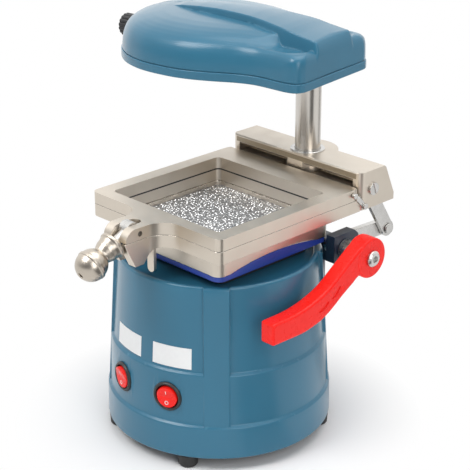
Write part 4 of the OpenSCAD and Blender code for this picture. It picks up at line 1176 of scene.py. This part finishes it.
# %% [markdown]
# ## The studio
# The object stands on a pale floor under large soft lamps. The world is white to the
# camera and to reflections, with a slow change of grey from side to side for metal to
# show. The floor keeps the object's shadow and turns plain white further out.


# %% The floor
def floor():
    bm = bmesh.new()
    bmesh.ops.create_circle(bm, cap_ends=True, segments=96, radius=3.0)
    mesh = mesh_from(bm, "floor")
    plain = Finish("floor_white", (0.92, 0.92, 0.92), 0.85)
    where = plain.node("ShaderNodeTexCoord")
    far = plain.node("ShaderNodeVectorMath", {"operation": "LENGTH"}, {
        0: Signal(plain, where.outputs["Object"])})
    reach = Signal(plain, far.outputs["Value"])
    ray = plain.node("ShaderNodeLightPath")
    seen = Signal(plain, ray.outputs["Is Camera Ray"])
    mirrored = Signal(plain, ray.outputs["Is Glossy Ray"])
    through = Signal(plain, ray.outputs["Is Transmission Ray"])
    any_ray = plain.node("ShaderNodeMath", {"operation": "ADD", "use_clamp": True}, {
        0: seen + mirrored, 1: through})
    fade = reach.above(0.082, 0.078)
    heading = plain.node("ShaderNodeVectorMath", {"operation": "NORMALIZE"}, {
        0: Signal(plain, where.outputs["Object"])})
    near_side = plain.node("ShaderNodeVectorMath", {"operation": "DOT_PRODUCT"}, {
        0: heading, 1: (0.978, -0.208, 0.0)})
    far_side = plain.node("ShaderNodeVectorMath", {"operation": "DOT_PRODUCT"}, {
        0: heading, 1: (0.342, 0.940, 0.0)})
    flag = (Signal(plain, near_side.outputs["Value"]).above(0.94, 0.03) * 0.9
            + Signal(plain, far_side.outputs["Value"]).above(0.965, 0.03) * 0.5) * mirrored
    glow = plain.node("ShaderNodeEmission", {}, {"Color": (1, 1, 1, 1), "Strength": 1.0 - flag})
    mixed = plain.node("ShaderNodeMixShader", {}, {
        0: Signal(plain, any_ray.outputs[0]) * fade, 1: plain.shader, 2: glow})
    plain.tree.links.new(mixed.outputs[0], plain.output.inputs["Surface"])
    piece = bpy.data.objects.new("floor", mesh)
    piece.location = HOME.translation
    mesh.materials.append(plain.material)
    bpy.context.scene.collection.objects.link(piece)


floor()


# %% Lamps
def lamp(name, place, aim, size, power):
    data = bpy.data.lights.new(name, "AREA")
    data.shape = "RECTANGLE"
    data.size, data.size_y = size
    data.energy = power
    thing = bpy.data.objects.new(name, data)
    thing.location = HOME @ Vector(place)
    thing.rotation_mode = "QUATERNION"
    thing.rotation_quaternion = (Vector(aim) - Vector(place)).to_track_quat("-Z", "Y")
    bpy.context.scene.collection.objects.link(thing)


lamp("key", (-0.35, -1.1, 1.6), (0, 0, 0.15), (0.8, 0.8), 17.0)
lamp("fill", (1.3, -0.5, 0.75), (0, 0, 0.15), (0.7, 1.2), 8.0)
lamp("top", (0.2, 0.3, 1.6), (0, 0, 0.15), (1.3, 1.3), 12.0)


# %% The world
def studio_world():
    world = bpy.data.worlds.new("studio")
    bpy.context.scene.world = world
    world.use_nodes = True
    tree = world.node_tree
    tree.nodes.clear()

    def node(kind, settings=None, values=None):
        made = tree.nodes.new(kind)
        for name, value in (settings or {}).items():
            setattr(made, name, value)
        for name, value in (values or {}).items():
            if isinstance(value, bpy.types.NodeSocket):
                tree.links.new(value, made.inputs[name])
            else:
                made.inputs[name].default_value = value
        return made

    where = node("ShaderNodeTexCoord").outputs["Generated"]
    toward = node("ShaderNodeVectorMath", {"operation": "DOT_PRODUCT"}, {
        0: where, 1: (-0.57, 0.56, 0.60)})
    level = node("ShaderNodeMapRange", {}, {
        "Value": toward.outputs["Value"], "From Min": -1.0, "From Max": 1.0})
    ramp = node("ShaderNodeValToRGB", {}, {"Fac": level.outputs[0]})
    ramp.color_ramp.interpolation = "EASE"
    stops = ramp.color_ramp.elements
    stops[0].position, stops[0].color = 0.25, (0.20, 0.20, 0.21, 1)
    stops[1].position, stops[1].color = 0.86, (1.0, 1.0, 1.0, 1)
    soft = node("ShaderNodeBackground", {}, {"Color": (0.92, 0.95, 1.0, 1), "Strength": 0.36})
    plain = node("ShaderNodeBackground", {}, {"Color": (1, 1, 1, 1), "Strength": 1.0})
    ray = node("ShaderNodeLightPath")
    chosen = node("ShaderNodeMath", {"operation": "ADD", "use_clamp": True}, {
        0: ray.outputs["Is Camera Ray"], 1: ray.outputs["Is Transmission Ray"]})
    glossy = node("ShaderNodeBackground", {}, {"Color": ramp.outputs[0], "Strength": 1.2})
    first = node("ShaderNodeMixShader", {}, {
        0: ray.outputs["Is Glossy Ray"], 1: soft.outputs[0], 2: glossy.outputs[0]})
    second = node("ShaderNodeMixShader", {}, {
        0: chosen.outputs[0], 1: first.outputs[0], 2: plain.outputs[0]})
    node("ShaderNodeOutputWorld", {}, {"Surface": second.outputs[0]})


studio_world()
